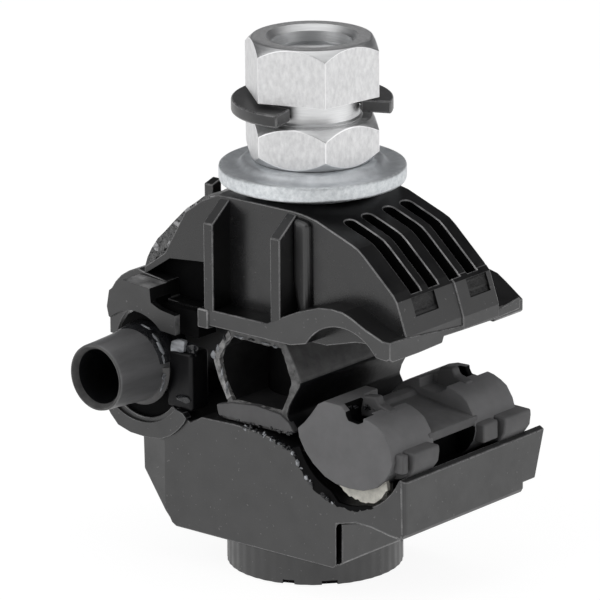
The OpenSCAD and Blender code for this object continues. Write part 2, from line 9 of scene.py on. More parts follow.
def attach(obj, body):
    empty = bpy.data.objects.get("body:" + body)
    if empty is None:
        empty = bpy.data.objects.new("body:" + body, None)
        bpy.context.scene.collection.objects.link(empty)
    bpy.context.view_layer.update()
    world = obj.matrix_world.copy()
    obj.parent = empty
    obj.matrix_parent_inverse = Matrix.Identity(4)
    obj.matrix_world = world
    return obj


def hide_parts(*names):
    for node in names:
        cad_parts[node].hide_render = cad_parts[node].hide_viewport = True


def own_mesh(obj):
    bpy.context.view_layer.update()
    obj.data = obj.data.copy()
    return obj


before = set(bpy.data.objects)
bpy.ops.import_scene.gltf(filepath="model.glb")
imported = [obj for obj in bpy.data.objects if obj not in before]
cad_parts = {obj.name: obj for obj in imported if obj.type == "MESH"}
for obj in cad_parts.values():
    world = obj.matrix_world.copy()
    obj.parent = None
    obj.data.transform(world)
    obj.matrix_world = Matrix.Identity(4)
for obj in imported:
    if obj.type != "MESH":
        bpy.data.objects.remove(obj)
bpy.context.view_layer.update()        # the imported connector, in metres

mm = 0.001
random.seed(7)


# selecting and modifiers

def clearSelection():
    if bpy.context.object and bpy.context.object.mode != "OBJECT":
        bpy.ops.object.mode_set(mode="OBJECT")
    bpy.ops.object.select_all(action="DESELECT")


def pick(obj):
    clearSelection()
    obj.select_set(True)
    bpy.context.view_layer.objects.active = obj


def applyModifier(obj, kind, **settings):
    pick(obj)
    mod = obj.modifiers.new(kind.lower(), kind)
    for key, value in settings.items():
        setattr(mod, key, value)
    bpy.ops.object.modifier_apply(modifier=mod.name)


# outlines, in millimetres

def arc(cx, cz, r, start, stop, steps):
    angles = [math.radians(start + (stop - start) * i / steps) for i in range(steps + 1)]
    return [(cx + r * math.cos(a), cz + r * math.sin(a)) for a in angles]


def circle(x, z, r):
    return arc(x, z, r, 0, 352.5, 47)


def hexagon(corner, turn=0):
    return arc(0, 0, corner, turn, turn + 300, 5)


def flatted(r, half):             # a circle with a flat at each side
    a = math.degrees(math.acos(half / r))
    return arc(0, 0, r, a, 180 - a, 18) + arc(0, 0, r, 180 + a, 360 - a, 18)


def shifted(line, distance):      # moves a line of points to its left
    out = []
    for i, (x, z) in enumerate(line):
        ax, az = line[max(i - 1, 0)]
        bx, bz = line[min(i + 1, len(line) - 1)]
        length = math.hypot(bx - ax, bz - az)
        out.append((x - (bz - az) / length * distance, z + (bx - ax) / length * distance))
    return out


def span(side, a, b):             # from and to along Y, on the front (-1) or the rear (1)
    return sorted((side * a, side * b))


def mirrored(points):             # swaps front and rear of a (y, z) outline
    return [(-y, z) for y, z in reversed(points)]


def ragged(points, step, rough):      # cuts a line into short steps and shakes them
    out = []
    for (ax, az), (bx, bz) in zip(points, points[1:]):
        n = max(1, round(math.hypot(bx - ax, bz - az) / step))
        for i in range(n):
            f = i / n
            out.append((ax + (bx - ax) * f + random.uniform(-rough, rough),
                        az + (bz - az) * f + random.uniform(-rough, rough)))
    return out + [points[-1]]


# solids from primitives

def paint(obj, face, test=None):      # gives a finish to the faces that pass the test
    for poly in obj.data.polygons:
        if test is None or test(poly):
            poly.material_index = face


def startEdit(obj):
    pick(obj)
    bpy.ops.object.mode_set(mode="EDIT")
    bpy.ops.mesh.select_all(action="SELECT")


def finishMesh(obj):
    startEdit(obj)
    bpy.ops.mesh.remove_doubles(threshold=0.000001)
    bpy.ops.mesh.normals_make_consistent(inside=False)
    bpy.ops.object.mode_set(mode="OBJECT")
    return obj


def flatShape(points, finishes, fill="NGON"):
    clearSelection()
    bpy.ops.mesh.primitive_circle_add(vertices=len(points), radius=mm, fill_type=fill)
    obj = bpy.context.object
    for finish in finishes:
        obj.data.materials.append(finish)
    for vert, point in zip(obj.data.vertices, points):
        vert.co = [c * mm for c in point]
    return obj


def extruded(points, shift, finishes, face=0):      # in the finishes of the jaws if none are given
    obj = flatShape(points, finishes or jawFinishes)
    startEdit(obj)
    bpy.ops.mesh.extrude_region_move(TRANSFORM_OT_translate={"value": [c * mm for c in shift]})
    finishMesh(obj)
    paint(obj, face)
    return obj


def slabY(outline, front, back, finishes=None, face=0):
    return extruded([(x, front, z) for x, z in outline], (0, back - front, 0), finishes, face)


def slabX(outline, left, right, finishes=None, face=0):
    return extruded([(left, y, z) for y, z in outline], (right - left, 0, 0), finishes, face)


def slabZ(outline, low, high, finishes=None, face=0):
    return extruded([(x, y, low) for x, y in outline], (0, 0, high - low), finishes, face)


def block(x0, x1, y0, y1, z0, z1, finishes=None, face=0):
    return slabZ([(x0, y0), (x1, y0), (x1, y1), (x0, y1)], z0, z1, finishes, face)


def turned(profile, steps, finishes, sweep=360):
    obj = flatShape([(r, 0, z) for r, z in profile], finishes, "NOTHING" if sweep == 360 else "NGON")
    startEdit(obj)
    bpy.ops.mesh.spin(steps=steps, angle=math.radians(-sweep), center=(0, 0, 0), axis=(0, 0, 1))
    return finishMesh(obj)


def turnZ(degrees):
    return Matrix.Rotation(math.radians(degrees), 4, "Z")


def placed(obj, matrix):
    pick(obj)
    obj.matrix_world = matrix
    bpy.ops.object.transform_apply(location=True, rotation=True, scale=True)
    return obj


def soften(obj, width, segments=2, angle=30, edge=1, clamp=True):
    applyModifier(obj, "BEVEL", width=width * mm, segments=segments, limit_method="ANGLE",
                  angle_limit=math.radians(angle), material=edge, use_clamp_overlap=clamp)
    return obj


def rounded(obj, width, segments=3, angle=30):      # softened, each face keeping its own finish
    return soften(obj, width, segments, angle, -1)


def bevelEdges(obj, test, width, segments, edge=-1):      # bevels the edges that pass the test
    startEdit(obj)
    bpy.ops.mesh.select_mode(type="EDGE")
    bpy.ops.mesh.select_all(action="DESELECT")
    mesh = bmesh.from_edit_mesh(obj.data)
    for e in mesh.edges:
        e.select_set(test(e))
    bmesh.update_edit_mesh(obj.data)
    bpy.ops.mesh.bevel(offset=width * mm, segments=segments, affect="EDGES", material=edge)
    bpy.ops.object.mode_set(mode="OBJECT")
    return obj


def roundCorner(obj, test, width, segments):      # the test takes both ends of an edge, in millimetres
    return bevelEdges(obj, lambda e: test(e.verts[0].co / mm, e.verts[1].co / mm), width, segments)


def joined(obj, others):
    clearSelection()
    for other in others:
        other.select_set(True)
    obj.select_set(True)
    bpy.context.view_layer.objects.active = obj
    bpy.ops.object.join()
    return obj


def combine(target, tools, how):
    for tool in tools:
        applyModifier(target, "BOOLEAN", object=tool, operation=how, solver="MANIFOLD")
        bpy.data.objects.remove(tool, do_unlink=True)
    return target


def crumb(place, size, finishes, face):           # a small rough lump
    clearSelection()
    bpy.ops.mesh.primitive_ico_sphere_add(subdivisions=2, radius=mm, location=[c * mm for c in place])
    obj = bpy.context.object
    for finish in finishes:
        obj.data.materials.append(finish)
    for vert in obj.data.vertices:
        push = random.uniform(0.65, 1.1)
        vert.co = [c * s * push for c, s in zip(vert.co, size)]
    paint(obj, face)
    bpy.ops.object.transform_apply(location=True, rotation=True, scale=True)
    return obj


def crumbLine(points, count, size, finishes, faces):      # lumps strewn along a line
    out = []
    spans = list(zip(points, points[1:]))
    for _ in range(count):
        a, b = random.choice(spans)
        f = random.random()
        place = [p + (q - p) * f + random.uniform(-0.1, 0.1) for p, q in zip(a, b)]
        spread = [size * random.uniform(0.4, 1.7) for _ in range(3)]
        out.append(crumb(place, spread, finishes, random.choice(faces)))
    return out


def finishPiece(obj, name, body, nodes, angle=35):
    finishMesh(obj)
    obj.name = name
    obj.data.name = name
    pick(obj)
    bpy.ops.object.shade_smooth_by_angle(angle=math.radians(angle))
    applyModifier(obj, "WEIGHTED_NORMAL", keep_sharp=True, weight=60)
    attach(obj, body)
    if nodes:
        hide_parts(*nodes)
    print(name, len(obj.data.polygons), "faces")
    return obj


# finishes

def shaderOf(mat):
    return mat.node_tree.nodes["Principled BSDF"]


def newFinish(name, colour, roughness, metallic=0.0, specular=0.5):
    mat = bpy.data.materials.new(name)
    mat.use_nodes = True
    shader = shaderOf(mat)
    shader.inputs["Base Color"].default_value = (*colour, 1)
    shader.inputs["Roughness"].default_value = roughness
    shader.inputs["Metallic"].default_value = metallic
    shader.inputs["Specular IOR Level"].default_value = specular
    return mat


def addNode(mat, kind, **inputs):
    node = mat.node_tree.nodes.new(kind)
    for key, value in inputs.items():
        node.inputs[key].default_value = value
    return node


def link(mat, source, output, target, socket):
    mat.node_tree.links.new(source.outputs[output], target.inputs[socket])


def feeding(mat, socket):         # what is linked to a socket of the shader so far
    links = shaderOf(mat).inputs[socket].links
    return links[0].from_socket if links else None


def noiseOn(mat, scale, detail, roughness, stretch=(1, 1, 1)):      # noise that is fixed to the piece
    noise = addNode(mat, "ShaderNodeTexNoise", Scale=scale, Detail=detail, Roughness=roughness)
    coords = addNode(mat, "ShaderNodeTexCoord")
    mapping = addNode(mat, "ShaderNodeMapping", Scale=stretch)
    link(mat, coords, "Object", mapping, "Vector")
    link(mat, mapping, "Vector", noise, "Vector")
    return noise


def mottle(mat, scale, low, high, stretch=(1, 1, 1), detail=3):      # colour that drifts between two tones
    noise = noiseOn(mat, scale, detail, 0.6, stretch)
    ramp = addNode(mat, "ShaderNodeValToRGB")
    ramp.color_ramp.elements[0].position = 0.3
    ramp.color_ramp.elements[1].position = 0.7
    ramp.color_ramp.elements[0].color = (*low, 1)
    ramp.color_ramp.elements[1].color = (*high, 1)
    link(mat, noise, "Fac", ramp, "Fac")
    link(mat, ramp, "Color", shaderOf(mat), "Base Color")


def uneven(mat, scale, low, high, stretch=(1, 1, 1)):      # roughness that drifts between two values
    noise = noiseOn(mat, scale, 4, 0.6, stretch)
    ends = {"From Min": 0.3, "From Max": 0.7, "To Min": low, "To Max": high}
    drift = addNode(mat, "ShaderNodeMapRange", **ends)
    link(mat, noise, "Fac", drift, "Value")
    link(mat, drift, "Result", shaderOf(mat), "Roughness")


def grain(mat, scale, height, stretch=(1, 1, 1), detail=2):      # bump, its height in metres
    before = feeding(mat, "Normal")
    noise = noiseOn(mat, scale, detail, 0.55, stretch)
    bump = addNode(mat, "ShaderNodeBump", Strength=1.0, Distance=height)
    link(mat, noise, "Fac", bump, "Height")
    if before:
        mat.node_tree.links.new(before, bump.inputs["Normal"])
    link(mat, bump, "Normal", shaderOf(mat), "Normal")


def specks(mat, scale, above, colour):      # tiny pale dots over the colour
    before = feeding(mat, "Base Color")
    noise = noiseOn(mat, scale, 1, 0.5)
    dots = addNode(mat, "ShaderNodeMapRange", **{"From Min": above, "From Max": above + 0.02})
    mix = addNode(mat, "ShaderNodeMixRGB", Color2=(*colour, 1))
    link(mat, noise, "Fac", dots, "Value")
    link(mat, dots, "Result", mix, "Fac")
    mat.node_tree.links.new(before, mix.inputs["Color1"])
    link(mat, mix, "Color", shaderOf(mat), "Base Color")


def mouldedBlack(name, specular, smooth, rough):      # black plastic with a few pale specks
    mat = newFinish(name, (0.008, 0.008, 0.0088), 0.42, specular=specular)
    mottle(mat, 260, (0.006, 0.006, 0.0066), (0.0105, 0.0103, 0.011))
    uneven(mat, 420, smooth, rough)
    grain(mat, 5200, 0.000006)
    specks(mat, 2600, 0.74, (0.09, 0.088, 0.088))
    return mat


jawBlack = mouldedBlack("jawBlack", 0.95, 0.34, 0.48)
jawWall = mouldedBlack("jawWall", 0.68, 0.22, 0.32)

# painted shade: a darker black for slopes, ledges and rib sides turned away from the light
jawDimShade = newFinish("jawDimShade", (0.004, 0.004, 0.0044), 0.34, specular=0.4)
mottle(jawDimShade, 260, (0.0025, 0.0025, 0.0028), (0.0055, 0.0054, 0.0058))
uneven(jawDimShade, 420, 0.28, 0.42)
grain(jawDimShade, 5200, 0.000006)

# painted highlight along bevelled edges
jawEdgeHighlight = newFinish("jawEdgeHighlight", (0.08, 0.079, 0.08), 0.3, specular=1.0)
mottle(jawEdgeHighlight, 900, (0.05, 0.05, 0.051), (0.2, 0.198, 0.2))
uneven(jawEdgeHighlight, 1500, 0.2, 0.4)

# painted highlight on slot rims and on a few lit ends and edges
slotRimHighlight = newFinish("slotRimHighlight", (0.3, 0.298, 0.3), 0.35, specular=0.8)
mottle(slotRimHighlight, 700, (0.06, 0.06, 0.061), (0.42, 0.417, 0.42))
uneven(slotRimHighlight, 1500, 0.25, 0.45)

# near-black and barely glossy: painted deep shade for slots, pockets, bores and gaps
deepShadeBlack = newFinish("deepShadeBlack", (0.003, 0.003, 0.0033), 0.7, specular=0.08)
mottle(deepShadeBlack, 500, (0.002, 0.002, 0.0023), (0.0045, 0.0045, 0.0048))
grain(deepShadeBlack, 3000, 0.00001)

sealGrey = newFinish("sealGrey", (0.08, 0.079, 0.081), 0.6)
mottle(sealGrey, 350, (0.09, 0.089, 0.091), (0.12, 0.119, 0.121))
grain(sealGrey, 2600, 0.00001)

sealFace = newFinish("sealFace", (0.15, 0.149, 0.153), 0.66)
mottle(sealFace, 420, (0.155, 0.154, 0.157), (0.185, 0.184, 0.188))
grain(sealFace, 2600, 0.000008)

# painted light: a lighter grey for the upward faces of the tray
trayLitGrey = newFinish("trayLitGrey", (0.15, 0.149, 0.152), 0.5)
mottle(trayLitGrey, 420, (0.125, 0.124, 0.126), (0.175, 0.174, 0.177))
grain(trayLitGrey, 2600, 0.00001)

padCream = newFinish("padCream", (0.72, 0.7, 0.63), 0.5)
mottle(padCream, 900, (0.5, 0.49, 0.44), (0.82, 0.8, 0.72))
grain(padCream, 1500, 0.00005)

greased = newFinish("greased", (0.012, 0.0125, 0.014), 0.2)
mottle(greased, 380, (0.008, 0.0085, 0.01), (0.03, 0.031, 0.034))
uneven(greased, 700, 0.08, 0.4)
grain(greased, 900, 0.00025, detail=3)

# black rubber made lighter than it is: partly painted sheen
sleeveBlackAndSheen = newFinish("sleeveBlackAndSheen", (0.085, 0.085, 0.087), 0.42, specular=1.0)
mottle(sleeveBlackAndSheen, 420, (0.085, 0.085, 0.088), (0.2, 0.2, 0.204), stretch=(1, 0.15, 1), detail=5)
grain(sleeveBlackAndSheen, 1800, 0.000012, stretch=(1, 0.3, 1))

sleeveEnd = newFinish("sleeveEnd", (0.07, 0.068, 0.068), 0.6)
mottle(sleeveEnd, 900, (0.08, 0.079, 0.079), (0.14, 0.138, 0.138))

bellowsBlack = newFinish("bellowsBlack", (0.026, 0.026, 0.027), 0.4, specular=0.3)
mottle(bellowsBlack, 300, (0.018, 0.018, 0.019), (0.036, 0.0355, 0.036))
grain(bellowsBlack, 1600, 0.00002)

# painted light on the upper facets of the folds
bellowsLitFold = newFinish("bellowsLitFold", (0.1, 0.099, 0.1), 0.45, specular=0.4)
mottle(bellowsLitFold, 700, (0.07, 0.0695, 0.07), (0.13, 0.129, 0.13), detail=6)
grain(bellowsLitFold, 2200, 0.00003, detail=4)

# the dark post, and painted shade in the sleeve bore and under the folds
postAndShadeBlack = newFinish("postAndShadeBlack", (0.007, 0.007, 0.008), 0.35, specular=0.2)
mottle(postAndShadeBlack, 300, (0.005, 0.005, 0.006), (0.01, 0.01, 0.011))
grain(postAndShadeBlack, 1600, 0.00002)

bellowsCut = newFinish("bellowsCut", (0.045, 0.044, 0.044), 0.5)
mottle(bellowsCut, 1200, (0.05, 0.0495, 0.0495), (0.2, 0.198, 0.198))
grain(bellowsCut, 2500, 0.00003)

# pale torn rubber, its brightest spots painted glints
bellowsTornAndGlints = newFinish("bellowsTornAndGlints", (0.16, 0.158, 0.158), 0.5)
mottle(bellowsTornAndGlints, 1600, (0.06, 0.059, 0.059), (0.5, 0.495, 0.49))
grain(bellowsTornAndGlints, 2500, 0.00005)

ringBlack = newFinish("ringBlack", (0.055, 0.055, 0.056), 0.36)
mottle(ringBlack, 400, (0.042, 0.042, 0.043), (0.07, 0.0695, 0.07))
grain(ringBlack, 4200, 0.000006)

alloyFlat = newFinish("alloyFlat", (0.7, 0.7, 0.705), 0.5, metallic=1.0)
mottle(alloyFlat, 2400, (0.68, 0.68, 0.686), (0.84, 0.84, 0.843), stretch=(1, 1, 0.5), detail=6)
uneven(alloyFlat, 2000, 0.42, 0.62)
grain(alloyFlat, 4200, 0.00002, detail=4)

alloyEdge = newFinish("alloyEdge", (0.94, 0.94, 0.945), 0.32, metallic=1.0)

alloyTurned = newFinish("alloyTurned", (0.8, 0.805, 0.81), 0.4, metallic=1.0)
mottle(alloyTurned, 700, (0.74, 0.745, 0.75), (0.86, 0.865, 0.87), stretch=(0.4, 0.4, 9))
uneven(alloyTurned, 900, 0.32, 0.5, stretch=(0.4, 0.4, 9))
grain(alloyTurned, 2000, 0.000006, stretch=(0.3, 0.3, 12))

zincDull = newFinish("zincDull", (0.7, 0.725, 0.75), 0.5, metallic=0.85)
mottle(zincDull, 600, (0.6, 0.625, 0.65), (0.8, 0.825, 0.85), detail=6)
uneven(zincDull, 1100, 0.44, 0.62)
grain(zincDull, 2600, 0.000012)

zincRough = newFinish("zincRough", (0.74, 0.77, 0.79), 0.55, metallic=1.0)
mottle(zincRough, 1900, (0.6, 0.63, 0.65), (0.86, 0.885, 0.9), detail=6)
grain(zincRough, 2800, 0.00005, detail=4)

boltSteel = newFinish("boltSteel", (0.5, 0.52, 0.54), 0.4, metallic=1.0)
mottle(boltSteel, 700, (0.42, 0.44, 0.46), (0.58, 0.6, 0.62))
grain(boltSteel, 2600, 0.00001)

bladeTin = newFinish("bladeTin", (0.85, 0.83, 0.76), 0.45, metallic=0.1)
mottle(bladeTin, 800, (0.75, 0.73, 0.66), (0.92, 0.9, 0.84))
grain(bladeTin, 3000, 0.000008)

crinkledAndGlints = newFinish("crinkledAndGlints", (0.01, 0.01, 0.011), 0.16, specular=1.0)
mottle(crinkledAndGlints, 500, (0.006, 0.006, 0.007), (0.02, 0.02, 0.021))
grain(crinkledAndGlints, 650, 0.0009, detail=3)
# pale specks: painted glints on the wrinkled skin
specks(crinkledAndGlints, 700, 0.6, (0.45, 0.45, 0.46))

# painted highlight: pale streaks and patches on grease
greaseHighlight = newFinish("greaseHighlight", (0.3, 0.31, 0.33), 0.18)
mottle(greaseHighlight, 900, (0.05, 0.053, 0.06), (0.6, 0.62, 0.65), stretch=(0.4, 1, 1))
uneven(greaseHighlight, 1200, 0.08, 0.3)
grain(greaseHighlight, 1100, 0.00012, detail=3)

jawRough = newFinish("jawRough", (0.006, 0.006, 0.0065), 0.4, specular=0.35)
mottle(jawRough, 1500, (0.003, 0.003, 0.0033), (0.016, 0.0158, 0.016), detail=5)
grain(jawRough, 1900, 0.00012, detail=4)

jawFinishes = [jawBlack, jawEdgeHighlight, deepShadeBlack, crinkledAndGlints, slotRimHighlight, jawDimShade, jawWall, jawRough]
plainFace, edgeFace, deepShadeFace, skinFace, rimHighlightFace, dimShadeFace, wallFace, roughFace = range(len(jawFinishes))
print("finishes ready")


# upper jaw

upperJaw = {
    "front": -8.45, "rear": 7.0, "skirt": 11.3, "bottom": 27.75, "bevel": 0.13,
    "ribs": [(-5.7, -4.4), (3.48, 4.8)], "ribTop": 39.0,
    "inset": 0.9, "wallThick": 1.4, "overlap": 0.5, "linerInset": 0.65,
    "slotsY": [-4.95, -2.05, 1.45, 4.35], "mainSlots": (8.7, 18), "tapSlots": (-15.6, -8.6),
    "slotWidth": 1.65, "slotDepth": 1.35, "slotEnd": 0.72, "slotRimHighlight": 0.12,
    "patches": [(-6.1, -2.3, 0), (2.8, 6.2, 0.18)],      # from, to and how far out the wall is there
    "arch": (13.1, 25.3, 5.65), "saddle": (-15.5, 22.3, 5.1),      # x, z and radius
    "liners": [(12.7, 25.4, 6.9), (-15.55, 22.3, 6.3)],
    "guideHole": 5.2, "guideTop": 35.2, "boltHole": 4.4,
}


def slotTools(roof, first, last):
    u = upperJaw
    line = [p for p in roof if first < p[0] < last]
    for x in (first, last):           # ends of the slot, on the roof
        for (ax, az), (bx, bz) in zip(roof, roof[1:]):
            if ax <= x < bx:
                line.append((x, az + (bz - az) * (x - ax) / (bx - ax)))
    line.sort()
    outline = shifted(line, -u["slotDepth"]) + shifted(line, 1.2)[::-1]
    n = len(line)
    top = (outline[0], outline[-1]) if line[0][1] > line[-1][1] else (outline[n - 1], outline[n])
    half = u["slotWidth"] / 2
    tools = []
    for y in u["slotsY"]:
        # slot walls in painted deep shade
        tool = slabY(outline, y - half, y + half, face=deepShadeFace)
        roundCorner(tool, lambda a, b: abs(a.y - b.y) < 0.01 and all(
            min(math.hypot(v.x - x, v.z - z) for x, z in top) < 0.01 for v in (a, b)), u["slotEnd"], 4)
        tools.append(tool)
    return tools


def onSlotRim(e):                 # an edge where a slot meets the roof
    c = (e.verts[0].co + e.verts[1].co) / 2 / mm
    inside = [f.material_index == deepShadeFace for f in e.link_faces]
    return sorted(inside) == [False, True] and c.z > 33.95 and abs(c.x) > 8.4


def makeUpperJaw():
    u = upperJaw
    front, rear, skirt, bottom, bevel = u["front"], u["rear"], u["skirt"], u["bottom"], u["bevel"]
    inset, thick, overlap, deep = u["inset"], u["wallThick"], u["overlap"], u["linerInset"]
    mainRoof = [(4.2, 41.4), (5.6, 41.3), (7.4, 40.95), (12.2, 39.2), (13.0, 38.85), (13.8, 38.25),
                (17.7, 34.75), (18.25, 34.0), (18.6, 33.1), (19.5, 30.5)]
    tapRoof = [(-4.2, 41.4), (-6.5, 41.25), (-8.9, 40.45), (-10, 39.6), (-11.3, 38.7), (-13, 37.05),
               (-14.5, 35.5), (-15.4, 34.65), (-16.3, 33.4), (-16.9, 32.3), (-17.2, 31.4)]
    base = [(-17.2, 26), (-9.8, 26), (-9.8, 27.5), (8.7, 27.5), (12.7, 28.6), (18.8, 29.1), (19.5, 29.1)]
    hump = soften(slabY(base + mainRoof[::-1] + tapRoof, front + inset, rear - inset), bevel)
    wallLine = [(-4.2, 41.4), (-6, 41.35), (-8.33, 40.31), (-10.67, 38.62), (-12.15, 36.09), (-13.63, 33.55),
                (-16.5, 31.5), (-16.5, 26)]
    walls = [soften(slabY(base[1:] + mainRoof[::-1] + line, y0, y1), bevel)
             for line, y0, y1 in ((wallLine, front, front + thick), (tapRoof + base[:1], rear - thick, rear))]
    step = [(17.5, 29.1), (19.68, 29.1), (19.68, 30.5), (18.78, 33.1), (18.43, 34.02), (17.9, 34.6),
            (17.2, 34)]
    combine(hump, walls + [soften(slabY(step, 0.9, rear), bevel)], "UNION")

    tools = slotTools(mainRoof, *u["mainSlots"]) + slotTools(tapRoof[::-1], *u["tapSlots"])
    for y0, y1, out in u["patches"]:      # shallow and rough, under the slots
        edge = ragged([(18.08 + out, 34), (18.35 + out, 33.1), (18.72 + out, 32.1)], 0.3, 0.04)
        tools.append(slabY(edge + [(20.5, 32.1), (20.5, 34)], y0, y1, face=roughFace))
    pocket = [(-16.45, 30.75), (-13.4, 30.35), (-13.3, 28.4), (-5.75, 28.4), (-5.75, 33.7), (-9, 33.5),
              (-12.9, 33.1)]          # over the tap saddle
    # pocket walls in painted deep shade
    tools.append(slabY(pocket, -9.5, -6.45, face=deepShadeFace))
    combine(hump, tools, "DIFFERENCE")
    # painted highlight on the slot rims
    bevelEdges(hump, onSlotRim, u["slotRimHighlight"], 2, rimHighlightFace)
    for poly in hump.data.polygons:   # wrinkled moulding skin beside the front wall, with painted glints
        c = poly.center / mm
        if poly.normal.y < -0.9 and c.x < -9 and abs(c.y - front - inset) < 0.05:
            poly.material_index = skinFace
        # rim faces that do not face the front take the duller painted edge highlight
        elif poly.material_index == rimHighlightFace and poly.normal.y > -0.15:
            poly.material_index = edgeFace

    parts, fillers = [], []
    cx, cz, r = u["arch"]
    bandLow = ([(-5.7, bottom), (6.2, bottom)] + arc(cx, cz, r, 148, 36, 18)
               + [(18.2, 28.55), (19.2, 28.5), (19.5, 28.75)])
    bandTop = [(13.2, 32.7), (11.8, 32.8), (10, 32.6), (7.1, 31.6), (4.8, 30.5), (3, 29.55), (-5.7, 29.55)]
    frontEnd = [(19.5, 30), (19.1, 30.4), (16.3, 31.4), (14.4, 32.3)]
    rearEnd = [(19.5, 30), (18.9, 30.4), (17.3, 31.5), (16.1, 32.25), (15, 32.5)]
    cx, cz, r = u["saddle"]
    plate = ([(-9.8, 25.75), (-9.8, 27.9), (-11.9, 28.2), (-13.2, 28.75), (-13.35, 30.3), (-17.15, 30.55),
              (-19.1, 29.05), (-19.45, 27.2), (-19.2, 26.1)] + arc(cx, cz, r, 133, 45, 14))
    for side, end, wall in ((-1, frontEnd, -front), (1, rearEnd, rear)):
        ribSide = [(-skirt, 27.8), (-skirt, u["ribTop"]), (-wall, 41.15), (-wall + 1, 41.15),
                   (-wall + 1, 27.8)]
        parts.append(slabY(bandLow + end + bandTop, side * skirt, side * (wall - overlap)))
        shelf = slabY(plate, side * skirt, side * (wall - overlap))
        depth = span(side, skirt - 0.8, 6)      # leaves the end of the shelf thin
        # painted deep shade inside the hollow
        hollow = block(-13.25, -9, *depth, 25, 29, face=deepShadeFace)
        combine(shelf, [hollow], "DIFFERENCE")
        # painted highlight on the lit end of the shelf
        paint(shelf, rimHighlightFace, lambda poly: poly.normal.x > 0.9 and poly.center.x / mm > -10)
        parts.append(shelf)
        for left, right in u["ribs"]:
            parts.append(slabX(ribSide if side < 0 else mirrored(ribSide), left, right))
        gusset = [(-8.2, 25.3), (-8.2, 28.2), (-13.4, 28.2)] + arc(cx, cz, r, 66, 36, 6)
        # gusset in painted deep shade
        fillers.append(slabY(gusset, *span(side, 9.3, 6.5), face=deepShadeFace))
        foot = block(-6.5, -5.05, *span(side, skirt + 0.2, 9.5), 27.4, 29.5)
        # painted highlight on the edges of the foot
        fillers.append(soften(foot, 0.16, edge=rimHighlightFace))
    saddle = ([(-9.8, 25), (-9.8, 28.3), (-13.3, 28.5), (-13.4, 30.4), (-16.6, 30.9), (-17.5, 31.1),
               (-18.8, 30.6), (-19.9, 29.9), (-20.7, 29.1), (-21.3, 28.2), (-21.6, 27.2), (-21.6, 23.1),
               (-20.5, 23.1)]
              + arc(cx, cz, r, 165, 30, 18))
    parts.append(slabY(saddle, front, -front))
    flange = [(-skirt, 28.7), (-10.9, 28.4), (-6.5, 28.38), (-2.6, 28.5), (-2.3, 29.15), (0.9, 29.05),
              (5.6, 28.95), (10.6, 29.1), (10.6, 30.4), (6.2, 29.8), (0.95, 29.6), (-2.3, 29.9),
              (-8.1, 30.5), (-skirt, 30.6)]
    parts.append(slabX(flange, 18.6, 19.66))
    parts.append(slabX([(-1.3, 33), (0.2, 33), (0.2, 40.05), (-1.3, 39.6)], -14.1, -12.9))
    for part in parts:
        soften(part, bevel)
    for side, wall in ((-1, -front), (1, rear)):      # flat buttress beside the right ribs, its foot drawn in
        buttress = [(5.5, 29.9), (6.9, 29.9), (6.85, 40.6), (4.7, 40.95), (4.7, 34), (5, 32)]
        part = slabY(buttress, side * (wall + 0.75), side * (wall - overlap))
        parts.append(rounded(part, 0.65, 4))
    combine(hump, parts + fillers, "UNION")

    # bores in painted deep shade
    bores = []
    for x, z, r in u["liners"]:
        bores.append(slabY(circle(x, z, r), front + deep, rear - deep, face=deepShadeFace))
    cx, cz, r = u["saddle"]           # room for the sleeve when the jaws close
    bores.append(slabY(circle(cx, cz, r - 0.03), -12, 12, face=deepShadeFace))
    bores.append(slabZ(circle(0, 0, u["guideHole"]), 20, u["guideTop"], face=deepShadeFace))
    bores.append(slabZ(circle(0, 0, u["boltHole"]), 30, 50, face=deepShadeFace))
    combine(hump, bores, "DIFFERENCE")
    for poly in hump.data.polygons:   # slopes and ledges mirror the dark ceiling; here they get painted shade, and some faces a painted highlight
        c = poly.center / mm
        facing = poly.normal
        if poly.material_index != plainFace:
            continue
        if facing.z > 0.4 and abs(facing.y) < 0.3 and (c.x > -13 or c.z > 32):
            poly.material_index = dimShadeFace
        elif facing.y < -0.9 and abs(c.y - front) < 0.05 and c.z > 28:
            poly.material_index = wallFace
        elif facing.y < -0.9 and c.y < 1 - skirt and c.z > 30 and abs(c.x) < 6:
            poly.material_index = wallFace       # fronts of the ribs
        elif facing.z > 0.9 and c.y < front - 0.1 and c.x < -13.3 and c.z > 29:
            poly.material_index = rimHighlightFace        # painted highlight on the top of the shelf
        elif facing.x > 0.9 and -5 < c.x < -4 and c.z > 30:
            poly.material_index = dimShadeFace      # painted shade on the side of the left ribs
    return finishPiece(hump, "upperJaw", "upper_jaw", ["upper_body"], 11)


makeUpperJaw()


# lower jaw

lowerJaw = {
    "front": -10.2, "rear": 10.2, "bottom": 3.75, "bevel": 0.12, "tongueBevel": 0.126,
    "cradle": (12.8, 18.7, 7.8), "tap": (-15.4, 20.4, 5.1),      # x, z and radius
    "bossRadius": 9.5, "bossTop": 4.2, "bossRibs": 44, "ribDepth": 0.05, "notches": [(-68, 1.3), (-41, 1.7)],
    "towerRadius": 4.8, "towerHalf": 3.9, "towerTop": 32.9,
    "boltHole": 4.15, "headHole": 7.6, "headTop": 5.4,
}


